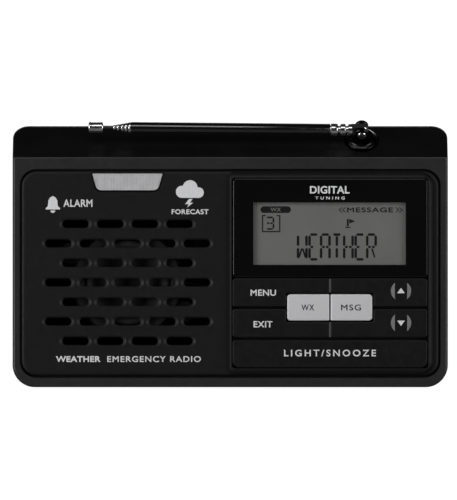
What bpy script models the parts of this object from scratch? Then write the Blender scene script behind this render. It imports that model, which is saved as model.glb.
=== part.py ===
"""Desk emergency radio: leaning front, weather-alert keys, display, speaker and telescopic antenna.

Lengths are in millimetres and angles in degrees; the helpers turn them into metres and radians.
World frame: +X to the viewer's right, -Y towards the viewer, +Z up, origin on the ground in the middle.
Face frame: u to the right, v up the leaning face, w out of it; its origin is the foot of the face.
Deck frame: centred on the antenna's swivel, x to the right, y up the sloping top deck, z out of it.
"""

import math

import bmesh
import bpy
from mathutils import Matrix, Vector

MM = 0.001

# Casing
WIDTH = 165.0
FACE_HEIGHT = 87.3
FACE_LEAN = 20.0
DECK_SLOPE = 23.0
DECK_LENGTH = 21.1
FOOT_HEIGHT = 1.5
WALL = 2.2
GAP = 0.3
CHIN_RADIUS = 0.5
HEEL_RADIUS = 2.0
CREST_RADIUS = 2.5
BROW_RADIUS = 2.0
BOTTOM_CORNER = 8.35
BACK_CORNER = 9.4
SEAM_DEPTH = 17.2
FAR = 120.0

# Feet
FOOT_X = 62.0
FOOT_FRONT = -15.0
FOOT_REAR = 15.0
FOOT_RADIUS = 4.0
FOOT_TOP = 1.7

# Front panel, in the face frame
PANEL = (-79.1, 4.6, 79.1, 82.2)
PANEL_CORNER = 5.7
PANEL_TOP = -0.2
PANEL_BACK = -2.8
PANEL_CHAMFER = 0.9
PANEL_CLEARANCE = 0.5
PANEL_LEDGE = 1.6
POD = (-0.8, 5.0, 77.3, 81.8)
POD_TOP = 1.6
POD_CHAMFER = 1.9
POCKET = (0.6, 7.4, 75.0, 79.6)
POCKET_FLOOR = -1.4

# Alert lens
LENS_TOP, LENS_LOW = 81.2, 74.9

# Display
WINDOW = (1.1, 41.9, 74.7, 79.3)
VIEW = (7.6, 45.4, 67.8, 71.6)
GLASS = (5.4, 43.4, 70.0, 73.6)

# Keys
KEYS_LEFT, KEYS_MIDDLE, KEYS_RIGHT = 0.9, 37.8, 74.7
ROW_TOP = (30.8, 41.55)
ROW_LOW = (19.1, 29.9)
BAR_ROW = (7.7, 18.1)
SILVER = (21.6, 25.5, 53.8, 35.5)
KEY_SPLIT = 0.25
SILVER_CLEARANCE = 0.5
KEY_TOP = 1.8
KEY_BOTTOM = -0.5
PLUNGER_END = -5.0
PLUNGER = (5.0, 4.0)
PLUNGERS = {
    "key_menu": (11.0, 37.5),
    "key_exit": (11.0, 23.0),
    "key_up": (64.5, 37.5),
    "key_down": (64.5, 23.0),
    "key_weather": (29.7, 30.5),
    "key_message": (45.9, 30.5),
    "light_snooze_bar": (37.8, 12.9),
}

# Speaker
SPEAKER = (-38.9, 39.9)
SPEAKER_RADIUS = 20.0
SLOT = (10.0, 2.9)
SLOT_PITCH = (13.15, 7.4)
SLOT_ROWS = 7

# Boards
BOARD_TOP = -7.0
BOARD_BACK = -8.4

# Side controls, in the face frame
WHEEL = (73.2, 34.0)
WHEEL_RADIUS = 9.0
WHEEL_SPAN = (-14.0, -11.2)
SWITCH = (79.9, 56.5)
RECESS = (23.0, -16.6, 66.0, -8.4)
RECESS_DEPTH = 1.5

# Rear
SCREW_X = 68.0
SCREW_ROWS = (14.0, 70.0)
BAY = (-12.2, 5.2, 41.2, 52.0)
BAY_FRONT = 6.7
BAY_WALL = 1.7
DOOR = (-14.2, 4.3, 43.2, 54.0)
DOOR_THICKNESS = 1.55
HINGE = (0.75, 5.1)
CELL_PITCH = 15.6
JACK_X = 58.0
DC_JACK_Z = 17.0
AERIAL_JACK_Z = 32.0

# Antenna, in the deck frame
ANTENNA_X = 49.9
ANTENNA_REACH = 9.7
PIVOT_HEIGHT = 5.4
REST_RISE = 0.7
TUBE_START = 8.8
TUBE_RADII = (2.175, 1.875, 1.575, 1.275, 0.975)
TUBE_ENDS = (88.4, 89.8, 91.2, 92.8, 94.2)
TUBE_WALL = 0.2
ROD_RADIUS = 0.7
ROD_END = 98.1
TIP_END = 103.6

SIN_LEAN, COS_LEAN = math.sin(math.radians(FACE_LEAN)), math.cos(math.radians(FACE_LEAN))
SIN_DECK, COS_DECK = math.sin(math.radians(DECK_SLOPE)), math.cos(math.radians(DECK_SLOPE))
HALF = WIDTH / 2
DEPTH = FACE_HEIGHT * SIN_LEAN + DECK_LENGTH * COS_DECK
BACK = DEPTH / 2
BROW = (FACE_HEIGHT * SIN_LEAN - BACK, FACE_HEIGHT * COS_LEAN + FOOT_HEIGHT)
CREST_HEIGHT = BROW[1] + DECK_LENGTH * SIN_DECK
PROFILE = [(-BACK, FOOT_HEIGHT), (BACK, FOOT_HEIGHT), (BACK, CREST_HEIGHT), BROW]
PROFILE_RADII = (CHIN_RADIUS, HEEL_RADIUS, CREST_RADIUS, BROW_RADIUS)

# Turns from a drawing plane to the world: outlines in (y, z), in (x, z) and in (x, y).
SIDE_VIEW = Matrix(((0, 0, 1), (1, 0, 0), (0, 1, 0))).to_4x4()
FRONT_VIEW = Matrix(((1, 0, 0), (0, 0, -1), (0, 1, 0))).to_4x4()
PLAN_VIEW = Matrix.Identity(4)
ALONG_X = (0, 90, 0)
ALONG_Y = (-90, 0, 0)

COLOURS = {
    "gloss_black": ((0.006, 0.006, 0.007), 0.18, 0.0),
    "matte_black": ((0.011, 0.011, 0.012), 0.55, 0.0),
    "key_black": ((0.012, 0.012, 0.013), 0.45, 0.0),
    "silver_plastic": ((0.45, 0.45, 0.46), 0.35, 0.3),
    "window_smoke": ((0.004, 0.004, 0.005), 0.06, 0.0),
    "lens_clear": ((0.42, 0.42, 0.43), 0.30, 0.0),
    "lcd_gray": ((0.11, 0.12, 0.11), 0.25, 0.0),
    "white_plastic": ((0.75, 0.75, 0.72), 0.40, 0.0),
    "rubber": ((0.015, 0.015, 0.015), 0.80, 0.0),
    "silicone": ((0.30, 0.31, 0.32), 0.60, 0.0),
    "board_green": ((0.02, 0.09, 0.04), 0.45, 0.0),
    "steel": ((0.55, 0.55, 0.56), 0.30, 1.0),
    "dark_chrome": ((0.20, 0.20, 0.21), 0.15, 1.0),
    "chrome": ((0.70, 0.70, 0.71), 0.12, 1.0),
    "brass": ((0.60, 0.45, 0.20), 0.30, 1.0),
    "paper_black": ((0.010, 0.010, 0.011), 0.85, 0.0),
    "lamp_red": ((0.50, 0.03, 0.02), 0.25, 0.0),
    "wire_black": ((0.012, 0.012, 0.012), 0.50, 0.0),
}


# ---------------------------------------------------------------- helpers
def clear_scene():
    for item in list(bpy.data.objects):
        bpy.data.objects.remove(item, do_unlink=True)


def new_collection(name):
    collection = bpy.data.collections.new(name)
    bpy.context.scene.collection.children.link(collection)
    return collection


def new_material(name):
    colour, roughness, metallic = COLOURS[name]
    material = bpy.data.materials.new(name)
    material.use_nodes = True
    shader = material.node_tree.nodes["Principled BSDF"]
    shader.inputs["Base Color"].default_value = (*colour, 1.0)
    shader.inputs["Roughness"].default_value = roughness
    shader.inputs["Metallic"].default_value = metallic
    return material


def place(item, parent=None, at=(0, 0, 0), turn=(0, 0, 0)):
    item.parent = parent
    item.location = Vector(at) * MM
    item.rotation_euler = [math.radians(angle) for angle in turn]
    return item


def new_frame(name, parent=None, at=(0, 0, 0), turn=(0, 0, 0)):
    """An empty that gives its children their axes."""
    empty = bpy.data.objects.new(name, None)
    PARTS.objects.link(empty)
    return place(empty, parent, at, turn)


def finish(name, mesh, look, **where):
    """Makes the object: a part in its material, or a hidden cutter when it has no look."""
    item = bpy.data.objects.new(name, mesh)
    if look:
        PARTS.objects.link(item)
        mesh.materials.append(MATERIALS[look])
    else:
        CUTTERS.objects.link(item)
        item.hide_render = True
        item.display_type = "WIRE"
    return place(item, **where)


def smooth(item, angle=35):
    item.data.shade_smooth()
    item.data.set_sharp_from_angle(angle=math.radians(angle))
    return item


def rectangle(box, grow=0.0):
    left, low, right, high = box
    return [
        (left - grow, low - grow),
        (right + grow, low - grow),
        (right + grow, high + grow),
        (left - grow, high + grow),
    ]


def rounded(corners, radii, steps=4):
    """The outline with its corners turned into arcs; a radius of 0 keeps a corner sharp."""
    if not isinstance(radii, (tuple, list)):
        radii = [radii] * len(corners)
    points = []
    for index, (corner, radius) in enumerate(zip(corners, radii)):
        here = Vector(corner)
        if not radius:
            points.append(here)
            continue
        before = (Vector(corners[index - 1]) - here).normalized()
        after = (Vector(corners[(index + 1) % len(corners)]) - here).normalized()
        half = before.angle(after) / 2
        centre = here + (before + after).normalized() * radius / math.sin(half)
        start = here + before * radius / math.tan(half) - centre
        way = 1 if before.x * after.y - before.y * after.x < 0 else -1
        for step in range(steps + 1):
            turn = Matrix.Rotation(way * (math.pi - 2 * half) * step / steps, 2)
            points.append(centre + turn @ start)
    return points


def inset(corners, distance):
    """The same outline, running anticlockwise, with each edge moved inwards."""
    moved = []
    for index, corner in enumerate(corners):
        here = Vector(corner)
        before = (here - Vector(corners[index - 1])).normalized()
        after = (Vector(corners[(index + 1) % len(corners)]) - here).normalized()
        inward_before = Vector((-before.y, before.x))
        inward_after = Vector((-after.y, after.x))
        bisector = (inward_before + inward_after).normalized()
        moved.append(here + bisector * distance / bisector.dot(inward_after))
    return moved


def slab_mesh(name, outlines, low, high, view=PLAN_VIEW):
    """A flat outline, with any holes, made solid between two heights."""
    curve = bpy.data.curves.new(name, "CURVE")
    curve.dimensions = "2D"
    curve.fill_mode = "BOTH"
    curve.extrude = (high - low) / 2 * MM
    for outline in outlines:
        spline = curve.splines.new("POLY")
        spline.points.add(len(outline) - 1)
        for point, (across, up) in zip(spline.points, outline):
            point.co = (across * MM, up * MM, 0, 1)
        spline.use_cyclic_u = True
    guide = bpy.data.objects.new(name, curve)
    bpy.context.scene.collection.objects.link(guide)
    graph = bpy.context.evaluated_depsgraph_get()
    mesh = bpy.data.meshes.new_from_object(guide.evaluated_get(graph))
    bpy.data.objects.remove(guide)
    bpy.data.curves.remove(curve)
    mesh.transform(view @ Matrix.Translation((0, 0, (low + high) / 2 * MM)))
    weld(mesh)
    mesh.name = name
    mesh.materials.clear()
    return mesh


def weld(mesh):
    form = bmesh.new()
    form.from_mesh(mesh)
    bmesh.ops.remove_doubles(form, verts=form.verts, dist=0.000001)
    bmesh.ops.recalc_face_normals(form, faces=form.faces)
    form.to_mesh(mesh)
    form.free()


def slab(name, outlines, low, high, look=None, view=PLAN_VIEW, **where):
    return finish(name, slab_mesh(name, outlines, low, high, view), look, **where)


def block(name, low, high, look=None, **where):
    low, high = Vector(low), Vector(high)
    form = bmesh.new()
    bmesh.ops.create_cube(form, size=1)
    bmesh.ops.scale(form, vec=(high - low) * MM, verts=form.verts)
    bmesh.ops.translate(form, vec=(high + low) / 2 * MM, verts=form.verts)
    mesh = bpy.data.meshes.new(name)
    form.to_mesh(mesh)
    form.free()
    return finish(name, mesh, look, **where)


def cylinder(name, radius, low, high, look=None, sides=16, **where):
    """A round bar from low to high along its own Z."""
    form = bmesh.new()
    bmesh.ops.create_cone(
        form,
        cap_ends=True,
        segments=sides,
        radius1=radius * MM,
        radius2=radius * MM,
        depth=(high - low) * MM,
        matrix=Matrix.Translation((0, 0, (low + high) / 2 * MM)),
    )
    mesh = bpy.data.meshes.new(name)
    form.to_mesh(mesh)
    form.free()
    return smooth(finish(name, mesh, look, **where))


def turned(name, profile, look=None, sides=20, ring=False, **where):
    """A profile of (radius, height) points, running down its outer side, turned about Z."""
    mesh = bpy.data.meshes.new(name)
    count = len(profile)
    edges = [(index, index + 1) for index in range(count - 1)]
    if ring:
        edges.append((count - 1, 0))
    mesh.from_pydata([(radius * MM, 0, height * MM) for radius, height in profile], edges, [])
    item = finish(name, mesh, look, **where)
    screw = item.modifiers.new("Turn", "SCREW")
    screw.steps = sides
    screw.render_steps = sides
    screw.use_merge_vertices = True
    screw.merge_threshold = 0.00001
    screw.use_smooth_shade = False
    return item


def wire(name, points, radius, look, **where):
    """A round wire through the points."""
    curve = bpy.data.curves.new(name, "CURVE")
    curve.dimensions = "3D"
    curve.bevel_depth = radius * MM
    curve.bevel_resolution = 1
    curve.use_fill_caps = True
    spline = curve.splines.new("POLY")
    spline.points.add(len(points) - 1)
    for point, spot in zip(spline.points, points):
        point.co = (*(Vector(spot) * MM), 1)
    curve.materials.append(MATERIALS[look])
    item = bpy.data.objects.new(name, curve)
    PARTS.objects.link(item)
    return place(item, **where)


def combine(item, operation, *others):
    for other in others:
        step = item.modifiers.new(operation.title() + "_" + other.name, "BOOLEAN")
        step.operation = operation
        step.object = other
        step.solver = "EXACT"


def cut(item, *others):
    combine(item, "DIFFERENCE", *others)


def join(item, *others):
    combine(item, "UNION", *others)


def soften(item, width, segments=1, angle=35):
    bevel = item.modifiers.new("Edges", "BEVEL")
    bevel.width = width * MM
    bevel.segments = segments
    bevel.limit_method = "ANGLE"
    bevel.angle_limit = math.radians(angle)


def raised(name, outline, low, high, chamfer, look=None, **where):
    """A slab whose upper rim is chamfered, or rounded off, all the way round."""
    mesh = slab_mesh(name, [outline], low, high)
    form = bmesh.new()
    form.from_mesh(mesh)
    form.normal_update()
    top = [face for face in form.faces if face.normal.z > 0.9]
    rim = {
        edge
        for face in top
        for edge in face.edges
        if any(abs(side.normal.z) < 0.5 for side in edge.link_faces)
    }
    bmesh.ops.bevel(
        form,
        geom=list(rim),
        offset=chamfer * MM,
        segments=1,
        affect="EDGES",
        clamp_overlap=True,
    )
    form.to_mesh(mesh)
    form.free()
    weld(mesh)
    return finish(name, mesh, look, **where)


def capsule(centre, size):
    """A slot outline with fully round ends."""
    length, height = size
    box = (
        centre[0] - length / 2,
        centre[1] - height / 2,
        centre[0] + length / 2,
        centre[1] + height / 2,
    )
    return rounded(rectangle(box), height / 2 - 0.001, steps=3)


# ---------------------------------------------------------------- casing
def casing(name, thickness, look=None):
    """The whole outer form, moved inwards by a thickness: side profile, front outline and plan outline."""
    corners = inset(PROFILE, thickness)
    radii = [max(radius - thickness, 0.5) for radius in PROFILE_RADII]
    half = HALF - thickness
    form = slab(name, [rounded(corners, radii, 6)], -half, half, look, SIDE_VIEW)
    low = FOOT_HEIGHT + thickness
    corner = BOTTOM_CORNER - thickness
    front = rounded([(-half, low), (half, low), (half, FAR), (-half, FAR)], (corner, corner, 0, 0), 8)
    front = [(across, low + (up - low) * COS_LEAN) for across, up in front]
    back = BACK - thickness
    corner = BACK_CORNER - thickness
    plan = rounded([(-half, -FAR), (half, -FAR), (half, back), (-half, back)], (0, 0, corner, corner), 8)
    combine(
        form,
        "INTERSECT",
        slab(name + "_front_outline", [front], -FAR, FAR, None, FRONT_VIEW),
        slab(name + "_plan_outline", [plan], -FAR, FAR),
    )
    return form


def face_block(name, low_w, high_w):
    """A cutter across the whole casing between two depths of the face frame."""
    return block(name, (-FAR, -FAR, low_w), (FAR, FAR, high_w), parent=FACE)


def make_front_housing():
    housing = casing("front_housing", 0, "gloss_black")
    hollow = casing("front_hollow", WALL)
    cut(hollow, face_block("rim_zone", -WALL - 2.9, FAR))
    pocket = rounded(rectangle(PANEL, PANEL_CLEARANCE), PANEL_CORNER + PANEL_CLEARANCE, 5)
    opening = rounded(rectangle(PANEL, -PANEL_LEDGE), PANEL_CORNER - PANEL_LEDGE, 4)
    pads = [
        block("controls_pad", (HALF - 4.3, 20.5, -17.9), (HALF - 1.0, 67.5, -4.6), parent=FACE),
        *(screw_boss(x, z) for x in (-SCREW_X, SCREW_X) for z in SCREW_ROWS),
    ]
    cut(housing, hollow)
    join(housing, *pads)
    cut(
        housing,
        face_block("rear_zone", -FAR, -SEAM_DEPTH),
        slab("panel_pocket", [pocket], PANEL_BACK - GAP, 20, parent=FACE),
        slab("panel_opening", [opening], -10, 0, parent=FACE),
        slab(
            "controls_recess",
            [rounded(rectangle(RECESS), 3.0)],
            HALF - RECESS_DEPTH,
            HALF + 5,
            parent=FACE,
            turn=(90, 0, 90),
        ),
        block("wheel_slot", (60, 26.2, -14.5), (90, 41.8, -10.7), parent=FACE),
        block("switch_slot", (70, 52.0, -14.1), (90, 61.0, -10.9), parent=FACE),
        cylinder("antenna_recess", 6.4, -0.8, 5, sides=32, parent=DECK),
        cylinder("antenna_hole", 2.6, -12, 0, parent=DECK),
        *(
            cylinder("front_screw_hole", 1.6, 3, 60, sides=12, at=(x, -10, z), turn=ALONG_Y)
            for x in (-SCREW_X, SCREW_X)
            for z in SCREW_ROWS
        ),
        *(foot_recess(x, FOOT_FRONT) for x in (-FOOT_X, FOOT_X)),
    )
    smooth(housing)


def screw_boss(x, z):
    """A post for a case screw, tied to the side wall by a web."""
    side = math.copysign(1, x)
    start = face_y(z) + 9.2 / COS_LEAN
    post = cylinder("screw_post", 4.0, 0, 30, sides=12, at=(x, start, z), turn=ALONG_Y)
    web_ends = sorted((x, side * (HALF - 1)))
    join(
        post,
        block("screw_web", (web_ends[0], start, z - 1), (web_ends[1], start + 30, z + 1)),
    )
    return post


def face_y(z):
    """World Y of the face's plane at a height."""
    return -BACK + (z - FOOT_HEIGHT) * SIN_LEAN / COS_LEAN


def foot_recess(x, y):
    return cylinder("foot_recess", FOOT_RADIUS + GAP, -1, FOOT_TOP + GAP, sides=20, at=(x, y, 0))


def make_feet():
    spots = [(x, y) for y in (FOOT_FRONT, FOOT_REAR) for x in (-FOOT_X, FOOT_X)]
    for number, (x, y) in enumerate(spots, 1):
        profile = [
            (0, FOOT_TOP),
            (FOOT_RADIUS, FOOT_TOP),
            (FOOT_RADIUS, 0.5),
            (FOOT_RADIUS - 0.5, 0),
            (0, 0),
        ]
        smooth(turned(f"foot_{number}", profile, "rubber", at=(x, y, 0)))


def make_rear_housing():
    housing = casing("rear_housing", 0, "matte_black")
    cut(housing, casing("rear_hollow", WALL))
    columns = [
        cylinder("screw_column", 4.0, 0, BACK + 9, sides=12, at=(x, -10, z), turn=ALONG_Y)
        for x in (-SCREW_X, SCREW_X)
        for z in SCREW_ROWS
    ]
    join(housing, *columns)
    cut(housing, face_block("front_zone", -SEAM_DEPTH - GAP, FAR))
    left, low, right, high = BAY
    wall = BAY_WALL
    join(
        housing,
        block("bay_box", (left - wall, BAY_FRONT - wall, 2.4), (right + wall, BACK - 1, high + wall)),
        block("door_frame", (left - 4.3, 20.5, 2.4), (right + 4.3, BACK - 0.5, high + 4.0)),
    )
    pins = (DOOR[0] - 1.8, DOOR[2] + 1.8)
    cut(
        housing,
        block("bay_space", (left, BAY_FRONT, low), (right, 40, high)),
        slab(
            "door_rebate",
            [rounded(rectangle(DOOR, GAP), (0, 0, 1.8, 1.8))],
            -40,
            -(BACK - 2.1),
            view=FRONT_VIEW,
        ),
        block("pin_sockets", (pins[0], BACK - 1.6, HINGE[1] - 0.8), (pins[1], 40, HINGE[1] + 0.8)),
        slab(
            "thumb_notch",
            [rounded([(8, 53), (21, 53), (21, 58.6), (8, 58.6)], (0, 0, 2.5, 2.5))],
            -40,
            -(BACK - 1.2),
            view=FRONT_VIEW,
        ),
        *(
            item
            for x in (-SCREW_X, SCREW_X)
            for z in SCREW_ROWS
            for item in (
                cylinder("rear_screw_hole", 1.6, 0, 60, sides=12, at=(x, -10, z), turn=ALONG_Y),
                cylinder("screw_sink", 3.2, BACK - 2.5, 40, sides=16, at=(x, 0, z), turn=ALONG_Y),
            )
        ),
        cylinder("dc_hole", 4.5, 0, 40, sides=24, at=(JACK_X, 0, DC_JACK_Z), turn=ALONG_Y),
        cylinder("aerial_hole", 4.5, 0, 40, sides=24, at=(JACK_X, 0, AERIAL_JACK_Z), turn=ALONG_Y),
        *(foot_recess(x, FOOT_REAR) for x in (-FOOT_X, FOOT_X)),
    )
    smooth(housing)


def make_case_screws():
    for number, (x, z) in enumerate([(x, z) for z in SCREW_ROWS for x in (-SCREW_X, SCREW_X)], 1):
        tip = max(face_y(z) + 11.5 / COS_LEAN, BACK - 26)
        profile = [
            (0, BACK - 0.6),
            (1.6, BACK - 0.6),
            (2.8, BACK - 1.2),
            (2.8, BACK - 2.2),
            (1.3, BACK - 2.2),
            (1.3, tip + 1),
            (0.3, tip),
            (0, tip),
        ]
        smooth(turned(f"case_screw_{number}", profile, "steel", 12, at=(x, 0, z), turn=ALONG_Y))


# ---------------------------------------------------------------- front panel
def slot_centres():
    """Rows of speaker slots, four and five in turn, from the top row down."""
    pitch_u, pitch_v = SLOT_PITCH
    for row in range(SLOT_ROWS):
        count = 4 if row % 2 == 0 else 5
        v = SPEAKER[1] + (SLOT_ROWS // 2 - row) * pitch_v
        for column in range(count):
            yield SPEAKER[0] + (column - (count - 1) / 2) * pitch_u, v


def lens_outline(grow=0.0):
    """The alert lens narrows downwards and has rounded lower corners."""
    corners = [
        (-50.5 - grow, LENS_LOW - grow),
        (-27.5 + grow, LENS_LOW - grow),
        (-25.6 + grow, LENS_TOP),
        (-52.3 - grow, LENS_TOP),
    ]
    return rounded(corners, (1.3 + grow, 1.3 + grow, 0, 0), 4)


def make_front_panel():
    outline = rounded(rectangle(PANEL), PANEL_CORNER, 5)
    panel = raised("front_panel", outline, PANEL_BACK, PANEL_TOP, PANEL_CHAMFER, "matte_black", parent=FACE)
    frame_outline = rounded(rectangle(POD), (2, 5.3, 5.3, 2), 5)
    frame = raised("pod_frame", frame_outline, PANEL_BACK + 1, POD_TOP, POD_CHAMFER, parent=FACE)
    join(panel, frame)
    bosses = [
        cylinder("speaker_post", radius, low, PANEL_BACK + 1, sides=10, parent=FACE, at=(*spot, 0))
        for spot in retainer_spots()
        for radius, low in ((2.2, -5.0), (0.8, -7.2))
    ]
    join(panel, *bosses)
    cut(
        panel,
        slab("pod_pocket", [rounded(rectangle(POCKET), 1.6)], POCKET_FLOOR, 20, parent=FACE),
        slab("view_opening", [rectangle(VIEW)], -10, 10, parent=FACE),
        slab("lens_opening", [lens_outline(GAP)], -10, 10, parent=FACE),
        *(
            block(
                "plunger_hole",
                (u - PLUNGER[0] / 2 - 0.4, v - PLUNGER[1] / 2 - 0.4, -10),
                (u + PLUNGER[0] / 2 + 0.4, v + PLUNGER[1] / 2 + 0.4, 10),
                parent=FACE,
            )
            for u, v in PLUNGERS.values()
        ),
        slab("slots", [capsule(centre, SLOT) for centre in slot_centres()], -10, 10, parent=FACE),
    )


def make_alert_lens():
    slab("alert_lens", [lens_outline()], PANEL_BACK + 0.2, PANEL_TOP + 0.2, "lens_clear", parent=FACE)
    lamp = [(0, -3.4), (0.8, -3.6), (1.5, -4.6), (1.5, -7.4), (1.9, -7.4), (1.9, -7.9), (0, -7.9)]
    smooth(turned("alert_lamp", lamp, "lamp_red", 14, parent=FACE, at=(-38.9, 77.6, 0)))


def make_display():
    slab(
        "lcd_window",
        [rounded(rectangle(WINDOW), 1.3)],
        POCKET_FLOOR + GAP,
        POD_TOP - 0.2,
        "window_smoke",
        parent=FACE,
    )
    slab("lcd_glass", [rectangle(GLASS)], -4.3, -3.1, "lcd_gray", parent=FACE)
    slab("lcd_backlight", [rectangle(GLASS, -1.5)], -6.7, -4.6, "white_plastic", parent=FACE)
    slab(
        "lcd_holder",
        [rectangle(GLASS, 2.0), rectangle(GLASS, 0.3)],
        -6.7,
        -3.1,
        "white_plastic",
        parent=FACE,
    )


# ---------------------------------------------------------------- keys
def key_outlines():
    """Outline of each key: four dark keys step round the two silver ones, above the wide bar."""
    left, middle, right = KEYS_LEFT, KEYS_MIDDLE, KEYS_RIGHT
    split, clear = KEY_SPLIT, SILVER_CLEARANCE
    silver_left, silver_low, silver_right, silver_high = SILVER

    def stepped(edge, centre, step, outer, inner, far_edge):
        """A key between its outer corner and the silver keys' corner."""
        corners = [
            (edge, outer),
            (edge, inner),
            (step, inner),
            (step, far_edge),
            (centre, far_edge),
            (centre, outer),
        ]
        if (centre - edge) * (inner - outer) > 0:
            corners.reverse()
        return rounded(corners, [1.2 if corner == (edge, outer) else 0.6 for corner in corners], 2)

    left_side = (left, middle - split, silver_left - clear)
    right_side = (right, middle + split, silver_right + clear)
    top_row = (ROW_TOP[1], ROW_TOP[0], silver_high + clear)
    low_row = (ROW_LOW[0], ROW_LOW[1], silver_low - clear)
    weather = rectangle((silver_left, silver_low, middle - split, silver_high))
    message = rectangle((middle + split, silver_low, silver_right, silver_high))
    bar = rectangle((left, BAR_ROW[0], right, BAR_ROW[1]))
    return {
        "key_menu": stepped(*left_side, *top_row),
        "key_exit": stepped(*left_side, *low_row),
        "key_up": stepped(*right_side, *top_row),
        "key_down": stepped(*right_side, *low_row),
        "key_weather": rounded(weather, (1.3, 0.4, 0.4, 1.3), 2),
        "key_message": rounded(message, (0.4, 1.3, 1.3, 0.4), 2),
        "light_snooze_bar": rounded(bar, (2.5, 2.5, 0.8, 0.8), 3),
    }


def make_keys():
    for name, outline in key_outlines().items():
        silver = name in ("key_weather", "key_message")
        look = "silver_plastic" if silver else "key_black"
        key = raised(name, outline, KEY_BOTTOM, KEY_TOP + 0.2 * silver, 0.3, look, parent=FACE)
        u, v = PLUNGERS[name]
        stem = block(
            name + "_stem",
            (u - PLUNGER[0] / 2, v - PLUNGER[1] / 2, PLUNGER_END),
            (u + PLUNGER[0] / 2, v + PLUNGER[1] / 2, KEY_BOTTOM + 0.5),
            parent=FACE,
        )
        join(key, stem)


def make_membrane():
    sheet = slab("key_membrane", [rectangle((2, 8.5, 73, 41.0))], -6.7, -6.4, "silicone", parent=FACE)
    domes = [
        turned(
            "dome",
            [(0, -6.1), (2.4, -6.1), (3.2, -6.55), (0, -6.55)],
            sides=12,
            parent=FACE,
            at=(u, v, 0),
        )
        for u, v in PLUNGERS.values()
    ]
    join(sheet, *domes)


# ---------------------------------------------------------------- boards and controls
def make_boards():
    outline = [(-3, 8), (62, 8), (62, 24), (69, 24), (78, 24), (78, 66), (62, 66), (62, 79), (-3, 79)]
    slab("main_board", [outline], BOARD_BACK, BOARD_TOP, "board_green", parent=FACE)
    can = slab("tuner_shield", [rectangle((8, 62.5, 50, 78))], -12.4, BOARD_BACK - GAP, "steel", parent=FACE)
    soften(can, 0.6)
    outline = [(50, 9), (63, 9), (63, 40), (50, 40)]
    slab("power_board", [outline], -10.2, -9.0, "board_green", view=FRONT_VIEW)


def make_volume_control():
    u, v = WHEEL
    low, high = WHEEL_SPAN
    turned(
        "volume_pot",
        [
            (0, BOARD_BACK - 0.3),
            (6.0, BOARD_BACK - 0.3),
            (6.0, BOARD_BACK - 2.3),
            (0, BOARD_BACK - 2.3),
        ],
        "steel",
        parent=FACE,
        at=(u - 1.5, v, 0),
    )
    axle = new_frame("volume_axis", FACE, (u, v, 0))
    outline = []
    teeth = 30
    for step in range(teeth * 2):
        radius = WHEEL_RADIUS - (0.45 if step % 2 else 0)
        angle = math.pi * step / teeth
        outline.append((radius * math.cos(angle), radius * math.sin(angle)))
    slab("volume_wheel", [outline], low, high, "key_black", parent=axle)


def make_power_switch():
    u, v = SWITCH
    block("switch_body", (71, v - 6.5, -16.2), (77.6, v + 6.5, BOARD_BACK - GAP), "steel", parent=FACE)
    knob = block("power_slider", (77.9 - u, -2.2, -1.3), (82.2 - u, 2.2, 1.3), "key_black", parent=FACE)
    place(knob, FACE, (u, v, -12.5))


# ---------------------------------------------------------------- speaker
def retainer_spots():
    """Two posts, on opposite sides of the speaker and between rows of slots."""
    pitch_v = SLOT_PITCH[1]
    rise = 1.5 * pitch_v
    run = math.sqrt((SPEAKER_RADIUS + 4.4) ** 2 - rise**2)
    return [(SPEAKER[0] - run, SPEAKER[1] + rise), (SPEAKER[0] + run, SPEAKER[1] - rise)]


def circle(radius, sides, centre=(0, 0)):
    turns = [2 * math.pi * step / sides for step in range(sides)]
    return [(centre[0] + radius * math.cos(turn), centre[1] + radius * math.sin(turn)) for turn in turns]


def make_speaker():
    spot = {"parent": FACE, "at": (*SPEAKER, 0)}
    rim = SPEAKER_RADIUS
    basket = [
        (rim, -3.2),
        (rim, -5.0),
        (rim - 2.5, -5.6),
        (12.5, -11.8),
        (7.0, -11.8),
        (7.0, -10.9),
        (12.0, -10.9),
        (rim - 3.6, -4.9),
        (rim - 3.6, -3.2),
    ]
    smooth(turned("speaker_frame", basket, "steel", 28, True, **spot))
    cone = [
        (0, -6.9),
        (3.0, -7.2),
        (6.0, -8.3),
        (rim - 5.2, -3.5),
        (rim - 4.2, -3.5),
        (6.2, -9.4),
        (0, -9.4),
    ]
    smooth(turned("speaker_cone", cone, "paper_black", 28, **spot))
    magnet = [(0, -12.1), (11.0, -12.1), (11.0, -16.6), (0, -16.6)]
    smooth(turned("speaker_magnet", magnet, "steel", 24, **spot))
    clamp = slab(
        "speaker_retainer",
        [circle(rim + 1.2, 28, SPEAKER), circle(rim - 0.9, 28, SPEAKER)],
        -6.3,
        -5.3,
        "steel",
        parent=FACE,
    )
    ears = [
        slab("ear", [circle(4.0, 14, ear)], -6.3, -5.3, parent=FACE)
        for ear in retainer_spots()
    ]
    join(clamp, *ears)
    cut(clamp, slab("ear_holes", [circle(1.1, 8, ear) for ear in retainer_spots()], -9, 0, parent=FACE))


# ---------------------------------------------------------------- battery bay
def make_battery_door():
    axle = new_frame("battery_door_axis", at=(0, BACK - HINGE[0], HINGE[1]))
    back_to_axle = (0, HINGE[0] - BACK, -HINGE[1])
    door = slab(
        "battery_door",
        [rounded(rectangle(DOOR), (0, 0, 1.5, 1.5))],
        -BACK,
        DOOR_THICKNESS - BACK,
        "matte_black",
        FRONT_VIEW,
        parent=axle,
        at=back_to_axle,
    )
    pins = [
        cylinder("hinge_pin", 0.5, start, start + 2.5, sides=8, parent=axle, at=(0, 0, 0), turn=ALONG_X)
        for start in (DOOR[0] - 1.5, DOOR[2] - 1.0)
    ]
    join(door, *pins)


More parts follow.
